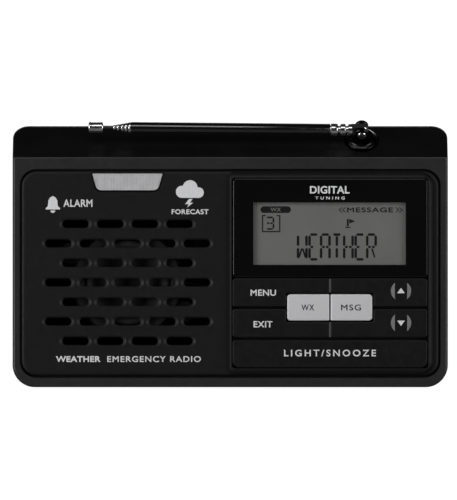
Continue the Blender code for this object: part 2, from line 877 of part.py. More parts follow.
def make_contacts():
    left, low, right, _ = BAY
    first = low + CELL_PITCH / 2
    rows = [first + CELL_PITCH * row for row in range(3)]
    plates = {
        "contact_positive": (left + 0.3, rows[0] - 5, rows[0] + 5),
        "contact_bridge_left": (left + 0.3, rows[1] - 5, rows[2] + 5),
        "contact_bridge_right": (right - 0.7, rows[0] - 5, rows[1] + 5),
        "contact_negative": (right - 0.7, rows[2] - 5, rows[2] + 5),
    }
    middle = (BAY_FRONT + BACK - DOOR_THICKNESS) / 2
    for name, (x, bottom, top) in plates.items():
        plate = block(name, (x, middle - 5, bottom), (x + 0.4, middle + 5, top), "steel")
        soften(plate, 0.1)
    springs = ((rows[0], right - 1.0, -1), (rows[1], left + 1.0, 1), (rows[2], right - 1.0, -1))
    for number, (z, x, way) in enumerate(springs, 1):
        turns, per_turn, length = 3.5, 10, 4.6
        steps = int(turns * per_turn)
        points = []
        for step in range(steps + 1):
            part = step / steps
            radius = 4.2 - 1.6 * part
            angle = 2 * math.pi * turns * part
            along = x + way * (0.4 + length * part)
            points.append((along, middle + radius * math.cos(angle), z + radius * math.sin(angle)))
        wire(f"battery_spring_{number}", points, 0.35, "steel")


# ---------------------------------------------------------------- sockets and leads
def make_sockets():
    board = 10.5
    mouth = BACK - 0.3
    inlet = [
        (0, mouth - 1.0),
        (1.0, mouth - 1.0),
        (1.0, mouth - 9.0),
        (2.8, mouth - 9.0),
        (2.8, mouth),
        (4.2, mouth),
        (4.2, board),
        (0, board),
    ]
    smooth(turned("dc_inlet", inlet, "gloss_black", 20, at=(JACK_X, 0, DC_JACK_Z), turn=ALONG_Y))
    socket = [
        (0, mouth - 10.0),
        (1.8, mouth - 10.0),
        (1.8, mouth),
        (3.2, mouth),
        (3.2, mouth - 0.8),
        (4.2, mouth - 0.8),
        (4.2, board),
        (0, board),
    ]
    smooth(turned("aerial_socket", socket, "chrome", 20, at=(JACK_X, 0, AERIAL_JACK_Z), turn=ALONG_Y))


def make_leads():
    wire(
        "speaker_lead",
        [(-22.6, 40, -9.2), (-18, 40, -10.6), (-12, 39, -11.2), (-6, 37.6, -10.8), (0, 36.4, -9.5)],
        0.6,
        "wire_black",
        parent=FACE,
    )
    wire(
        "antenna_lead",
        [(56.9, 91.0, -9.9), (57.4, 87.2, -10.9), (57.3, 82.6, -10.8), (57, 78, -9.9), (57, 75, -9.4)],
        0.5,
        "wire_black",
        parent=FACE,
    )
    wire(
        "power_lead",
        [(60, 8.1, 36), (60, 6.0, 38), (60, 3.0, 38.6), (60, 0.4, 37.8), (60, -1.6, 36.9)],
        0.6,
        "wire_black",
    )


# ---------------------------------------------------------------- antenna
def make_antenna():
    swivel = new_frame("antenna_swivel_axis", DECK)
    base = turned(
        "antenna_base",
        [
            (0, 1.7),
            (4.6, 1.7),
            (6.0, 1.0),
            (6.0, -0.5),
            (2.3, -0.5),
            (2.3, -7.0),
            (0, -7.0),
        ],
        "dark_chrome",
        28,
        parent=swivel,
    )
    ear = rounded(rectangle((-2.5, 1.2, 2.5, PIVOT_HEIGHT + 2.5)), (0, 0, 2.49, 2.49), 6)
    ears = [
        slab(f"ear_{side}", [ear], middle - 0.7, middle + 0.7, None, FRONT_VIEW, parent=swivel)
        for side, middle in (("near", 2.1), ("far", -2.1))
    ]
    join(base, *ears)
    pivot = {"parent": swivel, "at": (0, 0, PIVOT_HEIGHT), "turn": ALONG_Y}
    cut(base, cylinder("pivot_hole", 1.1, -5, 5, sides=12, **pivot))
    smooth(base)
    pin = [
        (0, 3.8),
        (1.2, 3.8),
        (1.6, 3.5),
        (1.6, 3.1),
        (0.8, 3.1),
        (0.8, -3.1),
        (1.6, -3.1),
        (1.6, -3.7),
        (0, -3.7),
    ]
    smooth(turned("antenna_pivot", pin, "chrome", 12, **pivot))
    nut = [(4.2, -3.5), (4.2, -5.5), (3.0, -5.5), (3.0, -3.5)]
    turned("antenna_nut", nut, "brass", 6, True, parent=swivel)
    lug = slab("antenna_lug", [circle(3.8, 16), circle(2.7, 16)], -3.1, -2.6, "brass", parent=DECK)
    join(lug, block("lug_tail", (3.2, -0.8, -3.1), (6.6, 0.8, -2.6), parent=DECK))

    tilt = new_frame("antenna_tilt_axis", swivel, (0, 0, PIVOT_HEIGHT), (0, REST_RISE - 90, 0))
    ferrule_end = TUBE_START + 2.9
    elbow = turned(
        "antenna_elbow",
        [
            (0, ferrule_end + 4.0),
            (1.6, ferrule_end + 4.0),
            (1.6, ferrule_end),
            (2.35, ferrule_end),
            (2.35, TUBE_START),
            (1.95, TUBE_START - 0.2),
            (1.95, TUBE_START - 0.5),
            (2.25, TUBE_START - 0.7),
            (2.25, 6.0),
            (1.9, 5.8),
            (1.9, 5.3),
            (2.2, 5.1),
            (2.2, 3.4),
            (0, 3.4),
        ],
        "chrome",
        20,
        parent=tilt,
    )
    tongue = rounded([(-2.3, -2.3), (2.3, -2.3), (2.1, 4.0), (-2.1, 4.0)], (2.2, 2.2, 0, 0), 5)
    tang = slab("tang", [tongue], -1.1, 1.1, None, FRONT_VIEW, parent=tilt)
    join(elbow, tang)
    cut(elbow, cylinder("tang_hole", 1.1, -5, 5, sides=12, parent=tilt, turn=ALONG_Y))
    smooth(elbow)
    start = ferrule_end + GAP
    for number, (radius, end) in enumerate(zip(TUBE_RADII, TUBE_ENDS), 1):
        profile = [
            (radius - TUBE_WALL, end),
            (radius, end),
            (radius, start),
            (radius - TUBE_WALL, start),
        ]
        look = "dark_chrome" if number == 1 else "chrome"
        smooth(turned(f"antenna_tube_{number}", profile, look, 20, True, parent=tilt))
        start = ferrule_end + 4.4 + 0.6 * number
    rod = [
        (0, TIP_END),
        (1.6, TIP_END - 0.1),
        (2.1, TIP_END - 0.6),
        (2.1, ROD_END + 0.5),
        (1.7, ROD_END),
        (ROD_RADIUS, ROD_END),
        (ROD_RADIUS, start),
        (0, start),
    ]
    smooth(turned("antenna_rod", rod, "chrome", 20, parent=tilt))


clear_scene()
PARTS = new_collection("emergency_radio")
CUTTERS = new_collection("cutters")
MATERIALS = {name: new_material(name) for name in COLOURS}
FACE = new_frame("face_frame", at=(0, -BACK, FOOT_HEIGHT), turn=(90 - FACE_LEAN, 0, 0))
DECK = new_frame(
    "deck_frame",
    at=(ANTENNA_X, BROW[0] + ANTENNA_REACH * COS_DECK, BROW[1] + ANTENNA_REACH * SIN_DECK),
    turn=(DECK_SLOPE, 0, 0),
)
make_front_housing()
make_rear_housing()
make_case_screws()
make_feet()
make_front_panel()
make_alert_lens()
make_display()
make_keys()
make_membrane()
make_boards()
make_volume_control()
make_power_switch()
make_speaker()
make_battery_door()
make_contacts()
make_sockets()
make_leads()
make_antenna()
bpy.context.view_layer.update()
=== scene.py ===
"""Looks for the emergency radio, built round its CAD frame.

Lengths are in millimetres, angles in degrees.
World: +X to the viewer's right, -Y towards the viewer, +Z up.
Face frame: u to the right, v up the leaning face, w out of it. Deck frame: z out of the sloping top deck.
"""

import math

import bmesh
import bpy
from mathutils import Matrix, Vector


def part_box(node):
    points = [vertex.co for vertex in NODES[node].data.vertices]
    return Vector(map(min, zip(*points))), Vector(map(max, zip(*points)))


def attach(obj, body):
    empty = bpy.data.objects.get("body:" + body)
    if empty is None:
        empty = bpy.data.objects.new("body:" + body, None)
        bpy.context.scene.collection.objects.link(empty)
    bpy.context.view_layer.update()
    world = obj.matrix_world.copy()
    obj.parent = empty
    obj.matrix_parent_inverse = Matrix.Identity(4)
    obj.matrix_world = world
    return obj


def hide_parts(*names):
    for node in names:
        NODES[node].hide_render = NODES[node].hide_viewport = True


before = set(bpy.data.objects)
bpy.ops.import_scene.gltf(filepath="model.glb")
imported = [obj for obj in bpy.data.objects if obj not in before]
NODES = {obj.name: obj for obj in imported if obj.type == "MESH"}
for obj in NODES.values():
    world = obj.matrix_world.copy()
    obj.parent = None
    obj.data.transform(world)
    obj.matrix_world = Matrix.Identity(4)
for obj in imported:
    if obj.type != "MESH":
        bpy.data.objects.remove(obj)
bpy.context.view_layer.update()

MM = 0.001


def cad_box(node):
    """Lowest and highest corner of a CAD node, in millimetres."""
    low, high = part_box(node)
    return Vector(low) / MM, Vector(high) / MM


# ---------------------------------------------------------------- sizes
FACE_LEAN = 20.0
DECK_SLOPE = 23.0
FACE_HEIGHT = 87.3
SEAM_DEPTH = 17.2
WALL = 2.2
GAP = 0.3
FAR = 120.0
rear_low, rear_high = cad_box("rear_housing")
HALF = rear_high.x
BACK = rear_high.y
FOOT = rear_low.z

SIN_LEAN, COS_LEAN = math.sin(math.radians(FACE_LEAN)), math.cos(math.radians(FACE_LEAN))
SIN_DECK, COS_DECK = math.sin(math.radians(DECK_SLOPE)), math.cos(math.radians(DECK_SLOPE))
DECK_LENGTH = (2 * BACK - FACE_HEIGHT * SIN_LEAN) / COS_DECK
BROW = (FACE_HEIGHT * SIN_LEAN - BACK, FACE_HEIGHT * COS_LEAN + FOOT)
PROFILE = [(-BACK, FOOT), (BACK, FOOT), (BACK, BROW[1] + DECK_LENGTH * SIN_DECK), BROW]
INNER_RADIUS = 0.5
BROW_RADIUS = 1.5
HEEL_RADIUS = 2.0
BOTTOM_CORNER = 8.35
BACK_CORNER = 8.2
EDGE_ROUND = 1.1
CREST_ROUND = 3.0
CHIN_ROUND = 0.6

PANEL = (-79.1, 4.6, 79.1, 82.2)
PANEL_CORNER = 5.7
PANEL_TOP = -0.2
PANEL_BACK = -2.8
POD = (-0.8, 5.0, 77.3, 81.8)
POD_TOP = 1.6
POCKET = (0.6, 7.4, 75.0, 79.6)
POCKET_FLOOR = -1.4
WINDOW = (1.1, 41.9, 74.7, 79.3)
LCD_VIEW = (8.75, 46.6, 66.5, 70.3)
LCD_FACE = (7.9, 45.7, 67.5, 71.3)
KEYS_LEFT, KEYS_MIDDLE, KEYS_RIGHT = 0.9, 37.8, 74.7
KEY_SPLIT = 0.25
KEY_CLEAR = 0.5
KEY_BOTTOM = -0.5
KEY_TOP = 1.8
SILVER = (21.6, 25.5, 53.8, 35.5)
SILVER_RISE = 0.2
DIVIDER_LOW, DIVIDER_TOP = 19.2, 41.4
DIVIDER_WIDTH = 0.28
SPEAKER = (-38.9, 39.9)
SLOT_PITCH = (13.15, 7.4)
LENS_LOW, LENS_TOP = 74.9, 81.2
PIVOT_HEIGHT = 5.4
REST_RISE = 0.7

# Turns from a drawing plane to the world: outlines in (y, z), in (x, z) and in (x, y).
SIDE_VIEW = Matrix(((0, 0, 1), (1, 0, 0), (0, 1, 0))).to_4x4()
FRONT_VIEW = Matrix(((1, 0, 0), (0, 0, -1), (0, 1, 0))).to_4x4()
PLAN_VIEW = Matrix.Identity(4)
ALONG_Y = Matrix.Rotation(math.radians(-90), 4, "X")
ALONG_X = Matrix.Rotation(math.radians(90), 4, "Y")


def moved(x, y, z):
    return Matrix.Translation((x, y, z))


FACE = moved(0, -BACK, FOOT) @ Matrix.Rotation(math.radians(90 - FACE_LEAN), 4, "X")
swivel_low, swivel_high = cad_box("antenna_nut")
ANTENNA_X = (swivel_low.x + swivel_high.x) / 2
ANTENNA_REACH = 9.7
DECK = moved(
    ANTENNA_X, BROW[0] + ANTENNA_REACH * COS_DECK, BROW[1] + ANTENNA_REACH * SIN_DECK
) @ Matrix.Rotation(math.radians(DECK_SLOPE), 4, "X")
MAST = DECK @ moved(0, 0, PIVOT_HEIGHT) @ Matrix.Rotation(math.radians(REST_RISE - 90), 4, "Y")


# ---------------------------------------------------------------- outlines
def rectangle(box, grow=0.0):
    left, low, right, high = box[0] - grow, box[1] - grow, box[2] + grow, box[3] + grow
    return [(left, low), (right, low), (right, high), (left, high)]


def rounded(corners, radii, steps=8):
    """The outline with its corners turned into arcs; a radius of 0 keeps a corner sharp."""
    if not isinstance(radii, (tuple, list)):
        radii = [radii] * len(corners)
    points = []
    for index, (corner, radius) in enumerate(zip(corners, radii)):
        here = Vector(corner)
        if not radius:
            points.append(here)
            continue
        before = (Vector(corners[index - 1]) - here).normalized()
        after = (Vector(corners[(index + 1) % len(corners)]) - here).normalized()
        half = before.angle(after) / 2
        centre = here + (before + after).normalized() * radius / math.sin(half)
        start = here + before * radius / math.tan(half) - centre
        way = 1 if before.x * after.y - before.y * after.x < 0 else -1
        for step in range(steps + 1):
            turn = Matrix.Rotation(way * (math.pi - 2 * half) * step / steps, 2)
            points.append(centre + turn @ start)
    return points


def inset(corners, distance):
    """The same outline, running anticlockwise, with each edge moved inwards."""
    result = []
    for index, corner in enumerate(corners):
        here = Vector(corner)
        before = (here - Vector(corners[index - 1])).normalized()
        after = (Vector(corners[(index + 1) % len(corners)]) - here).normalized()
        normal_before = Vector((-before.y, before.x))
        normal_after = Vector((-after.y, after.x))
        bisector = (normal_before + normal_after).normalized()
        result.append(here + bisector * distance / bisector.dot(normal_after))
    return result


def arc(centre, radius, start, end, steps):
    """Points on a circle from one angle to another."""
    turns = [math.radians(start + (end - start) * step / steps) for step in range(steps + 1)]
    return [(centre[0] + radius * math.cos(turn), centre[1] + radius * math.sin(turn)) for turn in turns]


def circle(radius, sides, centre=(0, 0)):
    turns = [2 * math.pi * step / sides for step in range(sides)]
    return [(centre[0] + radius * math.cos(turn), centre[1] + radius * math.sin(turn)) for turn in turns]


def capsule(centre, length, height):
    (across, up), half = centre, height / 2
    box = (across - length / 2, up - half, across + length / 2, up + half)
    return rounded(rectangle(box), half - 0.001)


# ---------------------------------------------------------------- meshes
def shade(mesh, smooth_angle):
    """Smooths the curved faces and leaves the broad flat ones flat."""
    mesh.shade_smooth()
    mesh.set_sharp_from_angle(angle=math.radians(smooth_angle))
    for face in mesh.polygons:
        if face.area > 150 * MM**2 or len(face.vertices) > 30:
            face.use_smooth = False


def place_object(name, data):
    item = bpy.data.objects.new(name, data)
    bpy.context.scene.collection.objects.link(item)
    return item


def mesh_of(name, form):
    """Turns a bmesh into a mesh and frees it."""
    mesh = bpy.data.meshes.new(name)
    form.to_mesh(mesh)
    form.free()
    return mesh


def new_piece(name, mesh, smooth_angle=32):
    if smooth_angle:
        shade(mesh, smooth_angle)
    return place_object(name, mesh)


def skin(form, rings):
    """Joins rings of equal length with faces and closes both ends."""
    for first, second in zip(rings, rings[1:]):
        for index in range(len(first)):
            after = (index + 1) % len(first)
            form.faces.new((first[index], first[after], second[after], second[index]))
    form.faces.new(list(reversed(rings[0])))
    form.faces.new(rings[-1])


def from_bmesh(name, form, place, smooth_angle=32):
    """Turns a bmesh drawn in millimetres into a piece in the world's metres."""
    bmesh.ops.recalc_face_normals(form, faces=form.faces)
    form.transform(Matrix.Scale(MM, 4) @ place)
    return new_piece(name, mesh_of(name, form), smooth_angle)


def stack(name, layers, place=FACE, smooth_angle=32):
    """A solid through outlines of equal length, each at its own height, closed at both ends."""
    form = bmesh.new()
    skin(form, [[form.verts.new((x, y, height)) for x, y in outline] for outline, height in layers])
    return from_bmesh(name, form, place, smooth_angle)


def slab(name, outline, low, high, place=FACE, smooth_angle=32):
    return stack(name, [(outline, low), (outline, high)], place, smooth_angle)


def block(name, low, high, place=PLAN_VIEW):
    return slab(name, rectangle((*low[:2], *high[:2])), low[2], high[2], place)


def lathe(name, profile, place, sides=64, ring=False, smooth_angle=32):
    """A profile of (radius, height) points turned about Z."""
    form = bmesh.new()
    rings = []
    for radius, height in profile:
        if radius < 1e-6:
            rings.append([form.verts.new((0, 0, height))])
        else:
            rings.append([form.verts.new((x, y, height)) for x, y in circle(radius, sides)])
    pairs = list(zip(rings, rings[1:]))
    if ring:
        pairs.append((rings[-1], rings[0]))
    for first, second in pairs:
        for index in range(sides):
            after = (index + 1) % sides
            corners = [first[index % len(first)], first[after % len(first)]]
            corners += [second[after % len(second)], second[index % len(second)]]
            unique = list(dict.fromkeys(corners))
            if len(unique) > 2:
                form.faces.new(unique)
    return from_bmesh(name, form, place, smooth_angle)


def bake(item, smooth_angle=32):
    """Applies the piece's modifiers to its mesh."""
    graph = bpy.context.evaluated_depsgraph_get()
    mesh = bpy.data.meshes.new_from_object(item.evaluated_get(graph))
    item.modifiers.clear()
    item.data = mesh
    shade(mesh, smooth_angle)
    return item


def drop(*items):
    for item in items:
        bpy.data.objects.remove(item, do_unlink=True)


def combine(item, operation, others, smooth_angle=32):
    for other in others:
        step = item.modifiers.new("Combine", "BOOLEAN")
        step.operation = operation
        step.object = other
        step.solver = "EXACT"
    bake(item, smooth_angle)
    drop(*others)
    return item


def cut(item, *others):
    return combine(item, "DIFFERENCE", others)


def join(item, *others):
    return combine(item, "UNION", others)


def merge(name, items):
    """Gathers separate pieces into one object without joining their surfaces."""
    form = bmesh.new()
    for item in items:
        form.from_mesh(item.data)
    mesh = mesh_of(name, form)
    drop(*items)
    return new_piece(name, mesh)


def bevel(item, width, segments):
    step = item.modifiers.new("Edges", "BEVEL")
    step.width = width * MM
    step.segments = segments
    step.limit_method = "ANGLE"
    step.angle_limit = math.radians(40)
    step.miter_outer = "MITER_ARC"
    return bake(item)


def dress(item, material, slot, body="radio", replaces=()):
    """Gives a new piece its material, body and the CAD nodes it stands for; its slot argument is not used."""
    item.data.materials.clear()
    item.data.materials.append(material)
    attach(item, body)
    if replaces:
        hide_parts(*([replaces] if isinstance(replaces, str) else replaces))
    return item


def paint(material, *nodes):
    """Gives CAD nodes that stay in view a finished material."""
    for node in nodes:
        mesh = NODES[node].data
        mesh.materials.clear()
        mesh.materials.append(material)


# ---------------------------------------------------------------- materials
NOISE_LOW, NOISE_HIGH = 0.3, 0.7


def principled(name, colour, roughness, metallic=0.0, specular=0.5):
    """A plain material, with its node tree and the inputs of its shader."""
    material = bpy.data.materials.new(name)
    material.use_nodes = True
    inputs = material.node_tree.nodes["Principled BSDF"].inputs
    inputs["Base Color"].default_value = (*colour, 1)
    inputs["Roughness"].default_value = roughness
    inputs["Metallic"].default_value = metallic
    inputs["Specular IOR Level"].default_value = specular
    return material, material.node_tree, inputs


def finish(name, colours, roughness, noises, depth, metallic=0.0, specular=0.5):
    """A material whose colour, roughness and relief each follow a noise of their own.

    colours holds the two that it runs between, roughness the nominal, lowest and highest value, noises the
    (size, detail) for colour, roughness and relief, and depth how deep the relief is.
    """
    material, tree, inputs = principled(name, colours[0], roughness[0], metallic, specular)
    where = tree.nodes.new("ShaderNodeTexCoord").outputs["Object"]

    def noise(size, detail):
        texture = tree.nodes.new("ShaderNodeTexNoise")
        texture.inputs["Scale"].default_value = 1 / (size * MM)
        texture.inputs["Detail"].default_value = detail
        tree.links.new(where, texture.inputs["Vector"])
        return texture.outputs["Fac"]

    def spread(source, low, high):
        item = tree.nodes.new("ShaderNodeMapRange")
        for key, value in (
            ("From Min", NOISE_LOW), ("From Max", NOISE_HIGH), ("To Min", low), ("To Max", high)
        ):
            item.inputs[key].default_value = value
        tree.links.new(source, item.inputs["Value"])
        return item.outputs["Result"]

    in_colour, in_roughness, in_relief = (noise(*values) for values in noises)
    mix = tree.nodes.new("ShaderNodeMix")
    mix.data_type = "RGBA"
    mix.inputs[6].default_value = (*colours[0], 1)
    mix.inputs[7].default_value = (*colours[1], 1)
    tree.links.new(spread(in_colour, 0, 1), mix.inputs[0])
    tree.links.new(mix.outputs[2], inputs["Base Color"])
    tree.links.new(spread(in_roughness, *roughness[1:]), inputs["Roughness"])
    bump = tree.nodes.new("ShaderNodeBump")
    bump.inputs["Distance"].default_value = depth * MM
    tree.links.new(in_relief, bump.inputs["Height"])
    tree.links.new(bump.outputs["Normal"], inputs["Normal"])
    return material


def gray(level):
    return (level, level, level * 1.03)


def grays(low, high):
    return gray(low), gray(high)


def matte_black(name, level, roughness=0.52, grain=0.30, depth=0.022, specular=0.25):
    roughnesses = (roughness, roughness - 0.05, roughness + 0.06)
    noises = ((14, 3), (2.0, 3), (grain, 2))
    return finish(name, grays(level, level * 1.22), roughnesses, noises, depth, specular=specular)


def metal(name, colour, roughness):
    colours = (colour, tuple(value * 0.86 for value in colour))
    roughnesses = (roughness, max(roughness - 0.04, 0.03), roughness + 0.06)
    return finish(name, colours, roughnesses, ((6, 2), (3.0, 3), (0.3, 2)), 0.0015, 1.0)


def plain(name, colour, roughness, other=None, size=3.0, depth=0.006, specular=0.5):
    colours = (colour, other or tuple(value * 0.85 for value in colour))
    roughnesses = (roughness, roughness - 0.04, roughness + 0.06)
    noises = ((size, 3), (size / 2, 2), (size / 6, 2))
    return finish(name, colours, roughnesses, noises, depth, specular=specular)


def printed(name, colour, other):
    return finish(name, (colour, other), (0.55, 0.50, 0.62), ((0.5, 2), (0.4, 2), (0.15, 2)), 0.002)


def lens_clear():
    colours = ((0.33, 0.33, 0.34), (0.40, 0.40, 0.41))
    lens = finish("lens_clear", colours, (0.32, 0.28, 0.38), ((3.0, 2), (1.5, 2), (0.8, 2)), 0.003)
    inputs = lens.node_tree.nodes["Principled BSDF"].inputs
    inputs["Subsurface Weight"].default_value = 0.15
    inputs["Subsurface Radius"].default_value = (0.002, 0.002, 0.002)
    return lens


GLOSS = finish(
    "gloss_black", grays(0.0013, 0.0020), (0.32, 0.30, 0.35),
    ((30, 2), (9, 2), (4.0, 1)), 0.010, specular=0.38,
)
# A lighter, rougher copy of the black. On the housing's forward faces and in the speaker slots its extra
# lightness is painted highlight, the light of the front lamps.
HIGHLIGHT_SATIN = matte_black("satin_painted_highlight", 0.0125, 0.42, 0.25, 0.006, 0.30)
PANEL_BLACK = matte_black("panel_black", 0.0042, specular=0.18)
CASE_BLACK = matte_black("case_black", 0.0060, 0.5, 0.45, 0.03)
KEY_BLACK = matte_black("key_black", 0.0034, 0.45, 0.22, 0.010, 0.2)
SILVER_PAINT = finish(
    "silver_paint", ((0.50, 0.50, 0.51), (0.59, 0.59, 0.60)), (0.36, 0.33, 0.40),
    ((0.12, 2), (2.0, 2), (0.2, 2)), 0.004, 0.15,
)
SMOKE = finish(
    "smoked_window", grays(0.0020, 0.0026), (0.05, 0.03, 0.08), ((25, 2), (16, 3), (6.0, 1)), 0.002
)
LENS = lens_clear()
FILM = finish(
    "lcd_film", ((0.112, 0.113, 0.110), (0.124, 0.125, 0.122)), (0.45, 0.42, 0.50),
    ((20, 2), (8, 2), (0.15, 1)), 0.002, specular=0.3,
)
INK = finish(
    "lcd_ink", grays(0.004, 0.006), (0.6, 0.55, 0.65), ((5, 2), (1.0, 2), (0.3, 1)), 0.001, specular=0.15
)
PRINT = printed("print_white", (0.62, 0.62, 0.63), (0.54, 0.54, 0.55))
PRINT_GRAY = printed("print_gray", (0.16, 0.16, 0.165), (0.13, 0.13, 0.135))
# Chrome with a darkened colour: on the mast sections' bodies and the rod it is painted shade, standing for
# the dark surroundings that the chrome mirrors.
SHADED_CHROME = metal("dark_chrome", (0.085, 0.085, 0.088), 0.17)
CHROME = metal("chrome", (0.62, 0.62, 0.63), 0.14)
BLACK_CHROME = metal("black_chrome", (0.020, 0.020, 0.021), 0.22)
STEEL = metal("zinc_steel", (0.52, 0.52, 0.52), 0.32)
BRASS = metal("brass", (0.58, 0.43, 0.19), 0.25)
RUBBER = finish(
    "foot_rubber", grays(0.012, 0.018), (0.78, 0.72, 0.84), ((1.5, 3), (1.0, 2), (0.25, 3)), 0.03
)
BOARD = plain("board_green", (0.012, 0.060, 0.026), 0.4)
WHITE_PLASTIC = plain("white_plastic", (0.70, 0.70, 0.67), 0.4)
SILICONE = plain("silicone", (0.28, 0.29, 0.30), 0.6)
CONE = plain("cone_paper", (0.014, 0.014, 0.0145), 0.75, (0.020, 0.020, 0.021), 0.8, 0.03, 0.1)
BASKET = plain("basket_black", (0.009, 0.009, 0.0093), 0.6, specular=0.1)
LAMP = plain("lamp_tint", (0.45, 0.03, 0.02), 0.2)
WIRE = plain("wire_sleeve", (0.012, 0.012, 0.012), 0.5)


# ---------------------------------------------------------------- casing
def casing(name, thickness):
    """The whole outer form, moved inwards by a thickness: side profile, front outline and plan outline."""
    half = HALF - thickness
    form = slab(name, rounded(inset(PROFILE, thickness), INNER_RADIUS, 10), -half, half, SIDE_VIEW)
    low = FOOT + thickness
    corner = BOTTOM_CORNER - thickness
    front = rounded([(-half, low), (half, low), (half, FAR), (-half, FAR)], (corner, corner, 0, 0), 16)
    front = [(across, low + (up - low) * COS_LEAN) for across, up in front]
    back = BACK - thickness
    corner = BACK_CORNER - thickness
    plan = rounded([(-half, -FAR), (half, -FAR), (half, back), (-half, back)], (0, 0, corner, corner), 16)
    outlines = [slab("outline", front, -FAR, FAR, FRONT_VIEW), slab("outline", plan, -FAR, FAR, PLAN_VIEW)]
    return combine(form, "INTERSECT", outlines)


def capped(name, rim, cap_normal, run):
    """A wall run out from a rim on a cap plane, with a rolled fillet between wall and cap.

    Each rim entry is (point, outward wall normal, fillet radius). run gives a point's place at the far end.
    """
    steps = 8
    form = bmesh.new()
    rings = [[] for _ in range(steps + 1)]
    far_ring = []
    for point, normal, radius in rim:
        point, normal = Vector(point), Vector(normal).normalized()
        centre = point - (cap_normal + normal) * radius / (1 + cap_normal.dot(normal))
        for step in range(steps + 1):
            rings[step].append(form.verts.new(centre + cap_normal.slerp(normal, step / steps) * radius))
        far_ring.append(form.verts.new(run(point)))
    skin(form, [*rings, far_ring])
    return from_bmesh(name, form, Matrix.Identity(4))


def blend(part, first, second):
    """Eases from the first value to the second as part goes from 0 to 1."""
    part = min(max(part, 0), 1)
    return first + (second - first) * part * part * (3 - 2 * part)


def both_corners(radius, steps=16):
    """Walks the left corner inwards and the right one outwards.

    Each stop is (side, part of the arc, angle, place across, distance from the edge as a part of the radius).
    """
    for side in (-1, 1):
        for step in range(steps + 1)[::-side]:
            angle = math.pi / 2 * step / steps
            across = side * (HALF - radius * (1 - math.cos(angle)))
            yield side, step / steps, angle, across, 1 - math.sin(angle)


def face_form():
    """The leaning face with its side walls and bottom, with rounded edges."""
    spots = [(-HALF, FAR, -1, 0, EDGE_ROUND)]
    for side, part, angle, across, away in both_corners(BOTTOM_CORNER):
        up = FOOT + BOTTOM_CORNER * COS_LEAN * away
        out, down = side * math.cos(angle) * COS_LEAN, -math.sin(angle)
        spots.append((across, up, out, down, blend(part, EDGE_ROUND, CHIN_ROUND)))
    spots.append((HALF, FAR, 1, 0, EDGE_ROUND))
    rim = [
        ((across, (up - FOOT) * SIN_LEAN / COS_LEAN - BACK, up), (out, 0, down), radius)
        for across, up, out, down, radius in spots
    ]
    normal = Vector((0, -COS_LEAN, SIN_LEAN))
    return capped("face_form", rim, normal, lambda point: Vector((point.x, FAR, point.z)))


def deck_form():
    """The sloping deck with its side walls and back, with rounded edges."""
    spots = [(-HALF, -FAR, -1, 0, EDGE_ROUND)]
    for side, part, angle, across, away in both_corners(BACK_CORNER):
        back = BACK - BACK_CORNER * away
        out, rear = side * math.cos(angle), math.sin(angle)
        spots.append((across, back, out, rear, blend(part, EDGE_ROUND, CREST_ROUND)))
    spots.append((HALF, -FAR, 1, 0, EDGE_ROUND))
    rim = [
        ((across, back, BROW[1] + (back - BROW[0]) * SIN_DECK / COS_DECK), (out, rear, 0), radius)
        for across, back, out, rear, radius in spots
    ]
    normal = Vector((0, -SIN_DECK, COS_DECK))
    return capped("deck_form", rim, normal, lambda point: Vector((point.x, point.y, -FAR)))


def outer_form(name):
    """The casing's outside, with every rim rounded."""
    profile = rounded(PROFILE, (0, HEEL_RADIUS, 0, BROW_RADIUS), 12)
    form = slab(name, profile, -HALF - 5, HALF + 5, SIDE_VIEW)
    return combine(form, "INTERSECT", [face_form(), deck_form()])


def face_block(low_w, high_w):
    return block("zone", (-FAR, -FAR, low_w), (FAR, FAR, high_w), FACE)


def flared(name, box, corner, low, high, flare):
    """A pocket cutter in the face whose mouth opens out by a small chamfer."""
    stages = ((0, low), (0, high - flare), (flare, high), (flare + 0.5, high + 0.5))
    layers = [(rounded(rectangle(box, grow), corner + grow, 10), height) for grow, height in stages]
    return stack(name, layers)


# Boxes on the right side, each as its low and its high corner, up the face and out of it.
CONTROLS_PAD = (20.5, -17.0), (67.5, -4.6)
WHEEL_SLOT = (26.2, -14.5), (41.8, -10.7)
SWITCH_SLOT = (52.0, -14.1), (61.0, -10.9)
SIDE_RECESS = (23, -16.6, 66, -8.4)
SIDE_RECESS_DEPTH = 1.5
# How squarely a face of the housing must look forward to count as its front, as a cosine; front faces take
# the lighter satin as painted highlight.
FACING = 0.93


